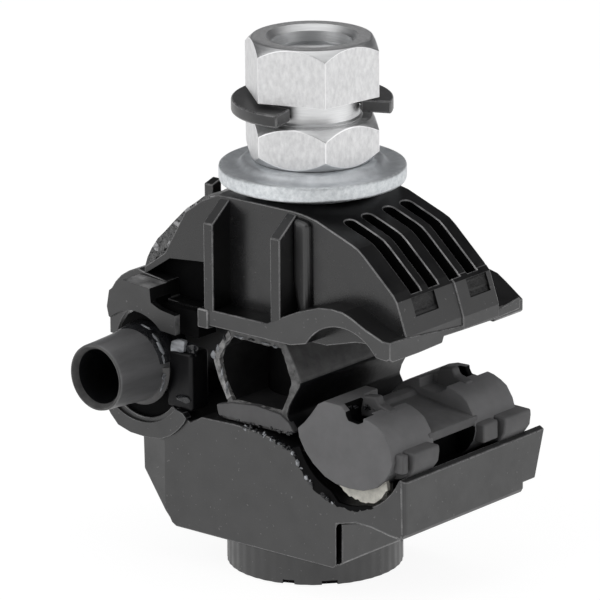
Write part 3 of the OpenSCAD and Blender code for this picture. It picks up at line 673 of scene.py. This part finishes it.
def makeLowerJaw():
    j = lowerJaw
    cx, cz, r = j["cradle"]
    tx, tz, tr = j["tap"]
    outline = ([(-11, j["bottom"]), (10.9, j["bottom"]), (11.35, 4.1), (11.35, 8.8), (12.3, 9), (14.2, 9.2),
                (16, 9.2), (17.3, 9), (18.4, 8.8), (19.5, 8.7), (20.2, 8.85), (20.45, 9.3), (20.5, 15.1)]
               + arc(cx, cz, r, -25, -155, 26)
               + [(4.4, 15.95), (2.6, 16.5), (0.5, 16.85), (-2.6, 17), (-7.2, 16.85), (-8.8, 15.95)]
               + arc(tx, tz, tr, -38, -142, 18)
               + [(-20.2, 17.2), (-20.2, 15.3), (-19.9, 14.8), (-18.7, 13.9), (-16.6, 13.3), (-16.25, 12.9),
                  (-16.15, 9.1), (-11.9, 4.6), (-11.6, 4.1)])
    jaw = slabY(outline, j["front"], j["rear"])
    roundCorner(jaw, lambda a, b: abs(a.y - b.y) < 0.01 and min(a.x, b.x) > 20.4 and a.y < 0, 0.8, 4)
    roundCorner(jaw, lambda a, b: abs(a.y - b.y) < 0.01 and min(a.x, b.x) > 11.3 and max(a.x, b.x) < 11.4
                and a.y > 0, 2.5, 5)
    roundCorner(jaw, lambda a, b: max(a.y, b.y) < -10.1 and min(a.x, b.x) > 12 and max(a.x, b.x) < 20.4
                and max(a.z, b.z) < 9.5, 0.45, 3)
    tail = ([(19.4, 9.95), (20.45, 9.95), (20.5, 15.1)] + arc(cx, cz, r, -25, -42, 5))
    tongue = slabY(tail, j["rear"] - 0.5, j["rear"] + 3.6)
    slant = [(1.9, 9.5), (3.7, 15.6), (6, 15.6), (6, 9.5)]      # from the rear face
    cutEnd = slabX([(j["rear"] + y, z) for y, z in slant], 15, 24)
    combine(tongue, [cutEnd], "DIFFERENCE")

    tools = []
    for side in (-1, 1):
        y = side * j["rear"]
        facet = [(-12.45, y), (-18.5, y - side * 1.4), (-18.5, y + side), (-12.45, y + side)]
        tools.append(slabZ(facet if side > 0 else facet[::-1], 2, 13.3))
    # groove and bolt-head hole in painted deep shade
    groove = block(10.4, 12, j["front"] + 0.15, j["front"] + 1.05, 2.9, 8.6, face=deepShadeFace)
    roundCorner(groove, lambda a, b: abs(a.x - b.x) > 0.1 and min(a.z, b.z) > 8.5, 0.4, 4)
    tools.append(groove)
    tools.append(slabZ(hexagon(j["headHole"]), -1, j["headTop"], face=deepShadeFace))
    combine(jaw, tools, "DIFFERENCE")
    soften(jaw, j["bevel"], clamp=False)
    guide = flatted(j["towerRadius"], j["towerHalf"])      # round the bolt, inside the bellows, in painted deep shade
    tower = slabZ(guide, 14, j["towerTop"], face=deepShadeFace)
    combine(jaw, [soften(tongue, j["tongueBevel"]), tower], "UNION")
    # bolt hole in painted deep shade
    combine(jaw, [slabZ(circle(0, 0, j["boltHole"]), 1, 40, face=deepShadeFace)], "DIFFERENCE")

    rim = []                          # boss with fine upright ribs
    count = j["bossRibs"] * 4
    for i in range(count):
        a = 2 * math.pi * i / count
        near = j["bossRadius"] - (j["ribDepth"] if i % 4 in (0, 1) else 0)
        rim.append((near * math.cos(a), near * math.sin(a)))
    boss = slabZ(rim, 0, j["bossTop"])
    # hole of the boss in painted deep shade
    hole = slabZ(hexagon(j["headHole"]), -1, j["headTop"], face=deepShadeFace)
    combine(boss, [hole], "DIFFERENCE")
    notches = []                      # at the foot of the boss, in painted deep shade
    for turn, width in j["notches"]:
        notch = block(9.1, 10.5, -width / 2, width / 2, -1, 0.45, face=deepShadeFace)
        notches.append(placed(notch, turnZ(turn)))
    combine(boss, notches, "DIFFERENCE")
    collar = ([(-20.2, 17.2), (-20.2, 15.3), (-19.85, 14.8), (-18.8, 13.75), (-17, 13.25), (-14.9, 13.15),
               (-12.6, 13.4), (-11.2, 14.1), (-10.2, 14.9), (-9.4, 15.8), (-9.1, 16.4), (-9.6, 16.9),
               (-10.6, 17.15)] + arc(-15.6, 21.2, 6.4, -40, -134, 16))      # raised rim of the tap cradle
    hoop = slabY(collar, j["front"] - 0.35, j["front"] + 0.6)
    combine(jaw, [boss, soften(hoop, j["bevel"])], "UNION")
    return finishPiece(jaw, "lowerJaw", "lower_jaw", ["lower_body"], 11)


makeLowerJaw()


# shear nut with its two hexes, and the ring in its neck

shearNut = {"flats": 13.0, "turn": 20.4, "low": 44.8, "neck": 49.4, "drive": 51.9, "top": 58.0,
            "corner": 0.1, "bore": 4.2, "groove": 4.5, "pitch": 1.25}


def makeShearNut():
    n = shearNut
    corner = n["flats"] / 2 / math.cos(math.radians(30))
    sides = hexagon(corner, n["turn"])
    finishes = [alloyFlat, alloyTurned, alloyEdge]
    turnedFace, cornerFace = 1, 2
    low, neck, drive, top = n["low"], n["neck"], n["drive"], n["top"]
    lowHex = slabZ(sides, low, neck, finishes)
    topHex = slabZ(sides, drive, top, finishes)
    lowCone = turned([(0, low), (6.35, low), (7.6, low + 1.3), (7.6, neck - 1.25), (6.4, neck), (0, neck)],
                     96, finishes)
    topCone = turned([(0, drive), (8, drive), (8, top - 1.6), (7.6, top - 1.25), (6.75, top - 0.35),
                      (6.45, top - 0.08), (6.2, top), (0, top)], 96, finishes)
    paint(lowCone, turnedFace)
    paint(topCone, turnedFace)
    combine(lowHex, [lowCone], "INTERSECT")
    combine(topHex, [topCone], "INTERSECT")
    soften(lowHex, n["corner"], 2, 20, cornerFace)
    soften(topHex, n["corner"], 2, 20, cornerFace)
    waist = turned([(0, neck - 0.5), (5.4, neck - 0.5), (5.35, neck + 0.05), (5.1, neck + 0.25),
                    (4.98, neck + 0.7), (4.95, neck + 1.25), (4.98, drive - 0.7), (5.1, drive - 0.25),
                    (5.35, drive - 0.05), (5.4, drive + 0.5), (0, drive + 0.5)], 96, finishes)
    paint(waist, turnedFace)
    combine(lowHex, [waist, topHex], "UNION")
    bore, groove = n["bore"], n["groove"]
    thread = [(0, low - 1), (4.75, low - 1), (4.75, low), (bore, low + 0.5)]
    z = low + 0.5
    while z < top - 1.6:
        thread += [(bore, z + 0.25), (groove, z + 0.55), (groove, z + 0.7), (bore, z + 1.0)]
        z += n["pitch"]
    thread += [(4.3, top - 0.6), (4.85, top - 0.1), (5, top + 0.05), (5, top + 1), (0, top + 1)]
    threaded = turned(thread, 96, finishes)
    paint(threaded, turnedFace)
    combine(lowHex, [threaded], "DIFFERENCE")
    return finishPiece(lowHex, "shearNut", "nut", ["shear_nut"], 25)


makeShearNut()

stopRing = {"inner": 5.3, "outer": 8.6, "low": 49.95, "thick": 1.4, "bevel": 0.2,
            "opening": 101, "turn": -25.5}


def makeStopRing():
    r = stopRing
    low, high = r["low"], r["low"] + r["thick"]
    profile = [(r["inner"], low), (r["outer"], low), (r["outer"], high), (r["inner"], high)]
    ring = turned(profile, 90, [ringBlack, jawEdgeHighlight], 360 - r["opening"])
    placed(ring, turnZ(r["turn"] + r["opening"] / 2))
    # the bevels take the painted edge highlight
    soften(ring, r["bevel"], 3)
    return finishPiece(ring, "stopRing", "nut", ["stop_ring"])


makeStopRing()


# dished washer and clamping bolt

dishedWasher = {"bore": 4.4, "low": 41.4, "rim": 42.4, "top": 44.1}


def makeWasher():
    w = dishedWasher
    hole, low, rim, top = w["bore"], w["low"], w["rim"], w["top"]
    profile = [(hole, low), (6.6, low), (7.1, low + 0.12), (7.6, low + 0.75), (8, rim), (9.7, rim),
               (9.92, rim + 0.1), (10, rim + 0.35), (10, top - 0.3), (9.93, top - 0.1), (9.7, top),
               (9.2, top - 0.02), (8.6, top - 0.1), (8.25, top - 0.08), (8, top + 0.02), (7.75, top + 0.3),
               (7.55, top + 0.52), (7.3, top + 0.62), (7, top + 0.65), (hole, top + 0.65)]
    washer = turned(profile, 128, [zincDull, zincRough])
    paint(washer, edgeFace, lambda poly: math.hypot(poly.center.x, poly.center.y) / mm > 9.6
          and poly.center.z / mm < top - 0.02)
    return finishPiece(washer, "dishedWasher", "upper_jaw", ["dished_washer"], 50)


makeWasher()

clampBolt = {"flats": 13.0, "head": 5.3, "shank": 3.98, "root": 3.62, "threadLow": 38.0, "threadTop": 52.6}


def makeBolt():
    b = clampBolt
    shank, root = b["shank"], b["root"]
    profile = [(0, 0.6), (shank, 0.6), (shank, b["threadLow"])]
    z = b["threadLow"]
    while z < b["threadTop"]:
        profile += [(shank, z + 0.2), (root, z + 0.52), (root, z + 0.68), (shank, z + 1.0)]
        z += shearNut["pitch"]
    profile += [(3.95, 53.2), (3.2, 54), (0, 54)]
    finishes = [boltSteel, deepShadeBlack]
    shadeFace = 1
    stem = turned(profile, 64, finishes)
    corner = b["flats"] / 2 / math.cos(math.radians(30))
    head = slabZ(hexagon(corner), 0, b["head"], finishes)
    cone = turned([(0, 0), (6.2, 0), (7.6, 0.8), (7.6, b["head"]), (0, b["head"])], 96, [boltSteel])
    combine(head, [cone], "INTERSECT")
    rounded(head, 0.08, 2, 20)
    combine(head, [stem], "UNION")
    paint(head, shadeFace, lambda poly: 8 < poly.center.z / mm < 37.9)      # painted shade where the bolt sits inside the black guide
    return finishPiece(head, "clampBolt", "lower_jaw", ["clamp_bolt"], 25)


makeBolt()


# rubber: bellows, main seal, tap sleeve

bellows = {
    "foot": 17.0, "front": -9.5, "rear": 9.5,
    "keep": 0.8155,      # share of the height that is left when the jaws are closed
    "lumps": [(-5.95, 23.9, 0.45, 0.5, True), (-5.3, 24.8, 0.25, 0.5, True), (-4.4, 26.1, 0.3, 0.45, False),
              (-2.4, 26.6, 0.8, 0.16, True), (-0.6, 26.65, 0.6, 0.13, False), (1.2, 26.6, 0.75, 0.15, True),
              (2.6, 26.5, 0.4, 0.2, True), (-4.1, 20.5, 0.16, 0.8, True), (-4.8, 22, 0.16, 0.7, True)],
}      # a lump is x, z, width, height and whether it gets a painted highlight


def makeBellows():
    b = bellows
    front, rear = b["front"], b["rear"]
    finishes = [bellowsBlack, bellowsCut, deepShadeBlack, greased, greaseHighlight, sealGrey, bellowsTornAndGlints, postAndShadeBlack,
                bellowsLitFold]
    cutFace, shadeFace, greaseFace, greaseHighlightFace, greyFace, tornAndGlintFace, shadedFoldFace, litFoldFace = range(1, 9)
    outer = [(-5, 17.05), (-4, 17), (4.2, 17), (5.1, 17.4), (4.55, 18.6), (4.2, 19.2), (4.5, 20.2),
             (5.2, 21.4), (5.95, 22.6), (6.1, 23.1), (6, 23.6), (5.4, 24.8), (4.5, 26.4), (4.2, 26.9),
             (3.9, 27.25), (-3.8, 27.25), (-4.2, 26.6), (-5.5, 24.8), (-5.95, 24), (-5.95, 23.3),
             (-5.3, 21.5), (-4.4, 19.8), (-4.15, 19.2), (-4.7, 18.4)]
    inner = [(-3.3, 19.35), (3.3, 19.45), (3.75, 20.2), (4.45, 21.6), (4.75, 22.6), (4.7, 23.4), (4.2, 24.8),
             (3.45, 26.4), (-3.5, 26.4), (-4.7, 24.8), (-5.1, 23.7), (-4.9, 22.6), (-4.4, 21.2), (-3.6, 19.8)]
    tube = rounded(slabY(outer, front, rear, finishes), 0.22)
    for poly in tube.data.polygons:
        if abs(poly.normal.y) > 0.9:
            poly.material_index = cutFace
        elif abs(poly.normal.x) > 0.3:     # folds: painted light above, painted shade below
            lit = poly.normal.z > 0.05 and poly.center.z / mm > 22.5
            poly.material_index = litFoldFace if lit else shadedFoldFace
    tunnel = slabY(inner, front + 0.4, rear + 1, finishes)
    torn = ragged(inner + inner[:1], 0.45, 0.09)[:-1]
    mouth = slabY(torn, front - 1, front + 0.5, finishes, face=tornAndGlintFace)
    guide = flatted(lowerJaw["towerRadius"] + 0.1, lowerJaw["towerHalf"] + 0.12)
    # the shaft round the guide in painted deep shade
    shaft = slabZ(guide, 10, 35, finishes, face=shadeFace)
    combine(tube, [tunnel, mouth, shaft], "DIFFERENCE")
    crest = [(5.2, 17.7), (4.6, 18.5), (3.4, 19.2), (0, 19.5), (-3.2, 19.15), (-5.4, 18.6)]
    foot = slabY(ragged([(-5.4, 18.5), (-5.2, 17.4), (0, 17.35), (5.2, 17.4)], 0.35, 0.1) + crest,
                 front - 0.3, front + 0.6, finishes, face=greyFace)
    combine(tube, [rounded(foot, 0.12, 2, 40)], "UNION")
    lumps = []                        # shreds of rubber and grease on the front edge, the shining ones with a painted highlight
    for x, z, width, height, shiny in b["lumps"]:
        face = greaseHighlightFace if shiny else greaseFace
        lumps.append(crumb((x, front, z), (width, 0.25, height), finishes, face))
    for _ in range(9):
        place = (random.uniform(-5, 5), front - 0.25, random.uniform(17.2, 17.5))
        lumps.append(crumb(place, (random.uniform(0.2, 0.45), 0.2, 0.22), finishes, greaseFace))
    band = [(-3.8, 27.1), (-4.15, 26.55), (-5.45, 24.8), (-5.88, 24), (-5.88, 23.3), (-5.25, 21.5),
            (-4.35, 19.8), (-4.1, 19.3)]      # torn left side of the mouth
    seam = ragged([(-3.6, 19.8), (-4.4, 21.2), (-4.9, 22.6), (-5.1, 23.7), (-4.7, 24.8), (-3.5, 26.4)],
                  0.35, 0.1)
    lumps.append(slabY(band + seam, front - 0.06, front + 0.3, finishes, face=tornAndGlintFace))
    joined(tube, lumps)
    piece = finishPiece(tube, "spacerBellows", "lower_jaw", ["spacer_bellows"])
    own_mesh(piece)
    return piece


makeBellows()

mainSeal = {
    "end": 10.5, "inner": 3.5,
    "barrel": [(6.6, 17.5), (7.42, 16.1), (8.5, 14.95), (10.1, 13.85), (11.6, 13.35), (13.3, 13.2),
               (15.3, 13.35), (17, 14), (18.1, 14.95), (18.9, 16), (19.2, 17.1), (19.15, 18), (18.8, 19.1),
               (18, 20.3), (17.2, 20.8), (16.2, 21.2), (14.6, 21.5), (13, 21.6)],
    "crest": [(12.3, 22.15), (10.1, 22.2), (9.2, 21.7), (8.15, 20.3), (7.3, 19.3), (6.4, 18.5)],      # front
    "dome": [(11.4, 21.55), (10.2, 21.2), (9.1, 20.6), (8.2, 19.7), (7.3, 18.8), (6.5, 18.2)],        # rear
    "notches": [(11.5, 8.7, [(12.7, 24), (13, 21.2), (13.3, 20.7), (14.6, 20.55), (15.3, 20.9), (15.6, 24)]),
                (9.7, 6.9, [(11.9, 24), (12.4, 18.8), (14.6, 18.8), (15.3, 24)]),
                (5.9, 3, [(11.6, 24), (11.7, 20.6), (13.9, 20.3), (15.2, 21), (15.6, 24)])],
    "tab": [(11.8, 20), (16.2, 20.4), (16.2, 21.4), (14.6, 21.8), (14.2, 22.6), (12.5, 22.4)],
    "tray": [(7.6, 17.8), (8.5, 15.2), (10.1, 14.1), (13.3, 13.5), (17, 14.3), (18.4, 15.5), (18.3, 17.7),
             (19.05, 17.75), (19.1, 18.75), (18.5, 18.85), (11.5, 19.75), (11.1, 20.2), (10.2, 20.4),
             (8.8, 19.4)],
    "ear": [(16, 14.6), (18.6, 14.8), (19.9, 15.3), (20.6, 16.3), (20.75, 17.4), (20.7, 18.05), (16, 18.15)],
    "padEdge": [(-101, 5.7), (-95, 6.1), (-88, 6.5), (-79, 6.85), (-70, 7.3), (-62, 7.5), (-52, 7.4),
                (-42, 7.1), (-37, 6.5)],      # angle and radius round the cradle
}


def makeMainSeal():
    s = mainSeal
    cx, cz, _ = lowerJaw["cradle"]
    finishes = [sealGrey, sealFace, deepShadeBlack, greased, trayLitGrey, padCream, greaseHighlight]
    paleFace, shadeFace, greaseFace, litTrayFace, creamFace, greaseHighlightFace = range(1, len(finishes))
    mixed = (greaseFace, greaseFace, greaseFace, greaseHighlightFace)
    # the shreds mix grease with painted highlights
    parts = []
    for side in (-1, 1):
        outline = s["barrel"] + s["crest" if side < 0 else "dome"]
        barrel = slabY(outline, side * s["end"], side * s["inner"], finishes)
        tools = []
        # two of the notches in painted deep shade
        for (start, stop, notch), face in zip(s["notches"], (shadeFace, shadeFace, 0)):
            tools.append(slabY(notch, *span(side, start, stop), finishes, face))
        combine(barrel, tools, "DIFFERENCE")
        rounded(barrel, 0.22, angle=32)
        for poly in barrel.data.polygons:
            atEnd = poly.normal.y * side > 0.95 and abs(poly.center.y / mm) > s["end"] - 0.05
            if atEnd or poly.material_index == 0:
                poly.material_index = paleFace
        parts.append(barrel)
        parts.append(rounded(slabY(s["tab"], *span(side, 7, 5.8), finishes), 0.25))
    tray = slabY(s["tray"], -s["inner"] - 0.6, s["inner"] + 0.6, finishes)
    rounded(tray, 0.15, 2)
    # painted light on the upward faces of the tray
    paint(tray, litTrayFace, lambda poly: poly.normal.z > 0.5)
    for y0, y1 in ((-8.7, -4.4), (6.7, 11.2)):
        parts.append(rounded(slabY(s["ear"], y0, y1, finishes), 0.22))
    for y0, y1 in ((-9.9, -8.9), (3.7, 6.2)):
        parts.append(rounded(block(17.5, 20.2, y0, y1, 15.9, 18, finishes), 0.25))
    # dark sheets in painted shade that close off the view through the seal
    shadeSheets = [slabY(arc(cx, cz, 7.7, low, -180 - low, 20), y0, y1, finishes, face=shadeFace)
             for low, y0, y1 in ((-28, 9, 10.1), (-34, -4, 3.3))]
    combine(tray, parts + shadeSheets[:1], "UNION")
    # painted deep shade in the recess under the rail
    combine(tray, [block(16.6, 22, -4.35, 3.55, 12, 17.68, finishes, face=shadeFace)], "DIFFERENCE")
    combine(tray, shadeSheets[1:], "UNION")

    gapShadeOutline = (ragged(arc(cx, cz, 7.95, -160, -62, 10), 0.35, 0.14) + arc(cx, cz, 7.5, -70, -98, 4)
            + arc(cx, cz, 6.7, -108, -160, 12))      # torn, along the cradle: painted shade over the gap between seal and cradle
    gapShadeFlash = slabY(gapShadeOutline, -10.26, -9.9, finishes, face=shadeFace)
    brim = [(x, -10.2, z) for x, z in arc(cx, cz, 7.75, -157, -100, 9)]
    shreds = crumbLine(brim, 26, 0.26, finishes, mixed)
    edge = [arc(cx, cz, r, a, a, 1)[0] for a, r in s["padEdge"]]
    insert = ragged(edge, 0.4, 0.1) + arc(cx, cz, 5.2, -37, -101, 8)
    pad = slabY(insert, -9.95, -9.5, finishes, face=creamFace)
    sill = [(x, -10.15, z) for x, z in ((-1.2, 16.95), (0.6, 16.85), (2.6, 16.5), (4.4, 15.95), (5.7, 15.4))]
    shreds += crumbLine(sill, 26, 0.24, finishes, mixed)
    joined(tray, [gapShadeFlash, pad] + shreds)
    y = -s["end"] + 1.2
    wet = [(11.9, y, 21.3), (12.4, y + 1, 21.5), (13.2, y + 2.2, 21.3), (14.9, y + 2.6, 21)]
    joined(tray, crumbLine(wet, 12, 0.2, finishes, (greaseFace,)))
    return finishPiece(tray, "mainSeal", "lower_jaw", ["main_seal_lower"])


makeMainSeal()

tapSleeve = {"x": -15.6, "z": 21.3, "outer": 3.95, "bore": 2.65, "mouth": 3.0, "lip": 16.6, "back": 9.2,
             "turn": -1.1}


def tapPlace():                   # from round Z to along the tap channel, mouth to the front
    t = tapSleeve
    swing = Matrix.Translation((t["x"] * mm, 0, t["z"] * mm)) @ turnZ(t["turn"])
    return swing @ Matrix.Rotation(math.radians(90), 4, "X")


def makeTapSleeve():
    t = tapSleeve
    r, b, back = t["outer"], t["bore"], t["back"]
    mouth, lip = t["mouth"], t["lip"]
    finishes = [sleeveBlackAndSheen, sleeveEnd, postAndShadeBlack]
    endFace, shadedBoreFace = 1, 2
    profile = [(0, -back), (r - 0.8, -back), (r - 0.2, -back + 0.3), (r, -back + 0.9), (r + 0.1, 8),
               (r + 0.15, 10), (r + 0.08, 11.2), (r - 0.08, 13), (r - 0.22, 15.5), (r - 0.27, 16.9),
               (r - 0.33, 17.2), (r - 0.45, 17.3), (r - 0.55, 17.28), (mouth, lip), (mouth - 0.1, 15),
               (b, 11), (b, -back + 1.6), (0, -back + 1.5)]
    sleeve = turned(profile, 96, finishes)
    # painted shade in the bore
    for poly in sleeve.data.polygons:
        c = poly.center / mm
        reach = math.hypot(c.x, c.y)
        if reach < mouth and -back + 1 < c.z < lip:
            poly.material_index = shadedBoreFace
        elif c.z > lip and reach < r - 0.36:
            poly.material_index = endFace
    flange = turned([(r - 0.4, 10.35), (r + 0.5, 10.35), (r + 0.62, 10.55), (r + 0.4, 10.9), (r - 0.4, 11.3)],
                    60, finishes, 120)
    placed(flange, turnZ(-115))
    paint(flange, endFace)
    combine(sleeve, [flange], "UNION")
    placed(sleeve, tapPlace())
    return finishPiece(sleeve, "tapSleeve", "lower_jaw", ["tap_sleeve"], 40)


makeTapSleeve()

tapLips = {
    "arch": (-15.5, 22.3, 4.7), "face": -8.6, "post": (-12.3, -8.7, -10, -7), "postTop": 23.5,
    "foot": bellows["foot"], "keep": bellows["keep"],
    "shine": [(-11.5, 23.4), (-9.7, 23.6), (-9.5, 24.8), (-10.4, 24.9), (-11.4, 24.5), (-11.5, 23.4)],
    "glints": [(78, 10.2, 0.16, 0.8), (52, 10.5, 0.22, 0.8), (35, 10.7, 0.34, 0.9), (19, 10.9, 0.18, 0.6),
               (-7, 11, 0.4, 0.45), (-23, 10.9, 0.3, 0.9)],      # turn, place, width and length
}


def makeTapLips():                    # rubber behind the sleeve, and the post beside it
    l = tapLips
    finishes = [bellowsBlack, deepShadeBlack, greaseHighlight, greased, postAndShadeBlack]
    shadeFace, greaseHighlightFace, greaseFace, postFace = range(1, len(finishes))
    post = rounded(block(*l["post"], l["foot"], l["postTop"], finishes, face=postFace), 0.45, 4)
    mouth = arc(*l["arch"], 0, 180, 24) + [(-20.5, 19.2), (-10.5, 19.2)]
    # lips in painted deep shade
    lips = slabY(mouth, l["face"], l["face"] + 0.75, finishes, face=shadeFace)
    # painted highlight on the top of the post
    shine = slabY(ragged(l["shine"], 0.5, 0.06)[:-1], -10.1, -9.6, finishes, face=greaseHighlightFace)
    smear = crumb((-9.2, -9.4, 23.8), (1.2, 0.5, 0.75), finishes, greaseFace)
    blob = crumb((-9.9, -10, 18.4), (1.1, 0.4, 0.5), finishes, greaseFace)
    r = tapSleeve["outer"]
    collar = turned([(r - 0.5, 8), (r + 0.35, 8), (r + 0.5, 8.8), (r + 0.45, 9.6), (r + 0.3, 10.4),
                     (r + 0.15, 11.2), (r - 0.3, 12)], 60, finishes, 165)
    placed(collar, turnZ(12))
    paint(collar, greaseFace)
    glints = []                       # painted highlights on grease drawn out over the collar
    for turn, along, width, length in l["glints"]:
        glint = crumb((r + 0.3, 0, along), (0.15, length, width), finishes, greaseHighlightFace)
        glints.append(placed(glint, turnZ(turn)))
    placed(joined(collar, glints), tapPlace())
    joined(post, [lips, shine, smear, blob, collar])
    piece = finishPiece(post, "tapLips", "lower_jaw", [])
    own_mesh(piece)
    return piece


makeTapLips()

# the lower tap seal gets the painted deep shade; the other parts their own finishes
for node, finish in (("tap_seal_lower", deepShadeBlack), ("tap_seal_upper", greased), ("main_seal_upper", greased),
                     ("blade_front_lower", bladeTin), ("blade_rear_lower", bladeTin),
                     ("blade_front_upper", bladeTin), ("blade_rear_upper", bladeTin)):
    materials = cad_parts[node].data.materials
    materials.clear()
    materials.append(finish)


# camera, floor and light

def toward(turn, rise):           # from the part to a camera or a lamp
    a, e = math.radians(turn), math.radians(rise)
    return Vector((math.sin(a) * math.cos(e), -math.cos(a) * math.cos(e), math.sin(e)))


view = {"turn": 39.78, "rise": 17.0, "roll": -0.4, "distance": 0.7, "aim": 0.02889, "sensor": 36,
        "picture": 600, "focal": 6567, "shiftX": -13.59, "shiftY": -0.3}      # the last four in pixels


def makeCamera():
    a = math.radians(view["turn"])
    right = Vector((math.cos(a), math.sin(a), 0))
    back = toward(view["turn"], view["rise"])
    up = back.cross(right)
    camera = bpy.data.cameras.new("camera")
    camera.sensor_width = view["sensor"]
    camera.lens = view["focal"] / view["picture"] * view["sensor"]
    camera.shift_x = view["shiftX"] / view["picture"]
    camera.shift_y = view["shiftY"] / view["picture"]
    camera.clip_end = 20
    obj = bpy.data.objects.new("camera", camera)
    bpy.context.scene.collection.objects.link(obj)
    turn = Matrix((right, up, back)).transposed().to_4x4() @ turnZ(view["roll"])
    obj.matrix_world = Matrix.Translation(Vector((0, 0, view["aim"])) + back * view["distance"]) @ turn
    bpy.context.scene.camera = obj


ground = {"size": 8, "height": -0.0002, "glow": 1.15, "glowShare": 0.8}


def makeFloor():
    clearSelection()
    bpy.ops.mesh.primitive_plane_add(size=ground["size"], location=(0, 0, ground["height"]))
    floor = bpy.context.object
    floor.name = "floor"
    mat = newFinish("floorWhite", (0.9, 0.9, 0.9), 0.8)
    tree = mat.node_tree
    glow = addNode(mat, "ShaderNodeEmission", Strength=ground["glow"])
    path = addNode(mat, "ShaderNodeLightPath")
    seen = path.outputs["Is Camera Ray"]
    for ray in ("Is Glossy Ray", "Is Transmission Ray"):
        either = addNode(mat, "ShaderNodeMath")
        either.operation = "MAXIMUM"
        tree.links.new(seen, either.inputs[0])
        tree.links.new(path.outputs[ray], either.inputs[1])
        seen = either.outputs[0]
    share = addNode(mat, "ShaderNodeMath")
    share.operation = "MULTIPLY"
    share.inputs[1].default_value = ground["glowShare"]
    mix = addNode(mat, "ShaderNodeMixShader")
    tree.links.new(seen, share.inputs[0])
    link(mat, share, 0, mix, "Fac")
    link(mat, shaderOf(mat), "BSDF", mix, 1)
    link(mat, glow, "Emission", mix, 2)
    link(mat, mix, "Shader", tree.nodes["Material Output"], "Surface")
    floor.data.materials.append(mat)


def makeWorld():
    world = bpy.data.worlds.new("studio")
    bpy.context.scene.world = world
    world.use_nodes = True
    backdrop = world.node_tree.nodes["Background"]
    coords = addNode(world, "ShaderNodeTexCoord")
    split = addNode(world, "ShaderNodeSeparateXYZ")
    ramp = addNode(world, "ShaderNodeValToRGB")      # white walls, dim ceiling, bright overhead
    stops = ramp.color_ramp.elements
    dim = (0.06, 0.06, 0.063, 1)
    stops[0].position, stops[0].color = 0.02, (0.8, 0.8, 0.8, 1)
    stops[1].position, stops[1].color = 0.2, dim
    stops.new(0.7).color = dim
    stops.new(0.95).color = (1, 1, 1, 1)
    path = addNode(world, "ShaderNodeLightPath")
    white = addNode(world, "ShaderNodeMixRGB", Color2=(1, 1, 1, 1))
    link(world, coords, "Generated", split, "Vector")
    link(world, split, "Z", ramp, "Fac")
    link(world, path, "Is Camera Ray", white, "Fac")
    link(world, ramp, "Color", white, "Color1")
    link(world, white, "Color", backdrop, "Color")
    backdrop.inputs["Strength"].default_value = 1.0


lamps = {
    "key": {"turn": -20, "rise": 32, "aim": 0.03, "distance": 0.6, "size": 0.5, "power": 1.2},
    "side": {"turn": 110, "rise": 28, "aim": 0.03, "distance": 0.6, "size": 0.5, "power": 0.9},
}


def makeLamps():
    for name, lamp in lamps.items():
        back = toward(lamp["turn"], lamp["rise"])
        data = bpy.data.lights.new(name, "AREA")
        data.size = lamp["size"]
        data.energy = lamp["power"]
        obj = bpy.data.objects.new(name, data)
        bpy.context.scene.collection.objects.link(obj)
        place = Vector((0, 0, lamp["aim"])) + back * lamp["distance"]
        obj.matrix_world = Matrix.Translation(place) @ back.to_track_quat("Z", "Y").to_matrix().to_4x4()


makeCamera()
makeFloor()
makeWorld()
makeLamps()
bpy.context.scene.view_settings.view_transform = "Standard"
print("stage ready")
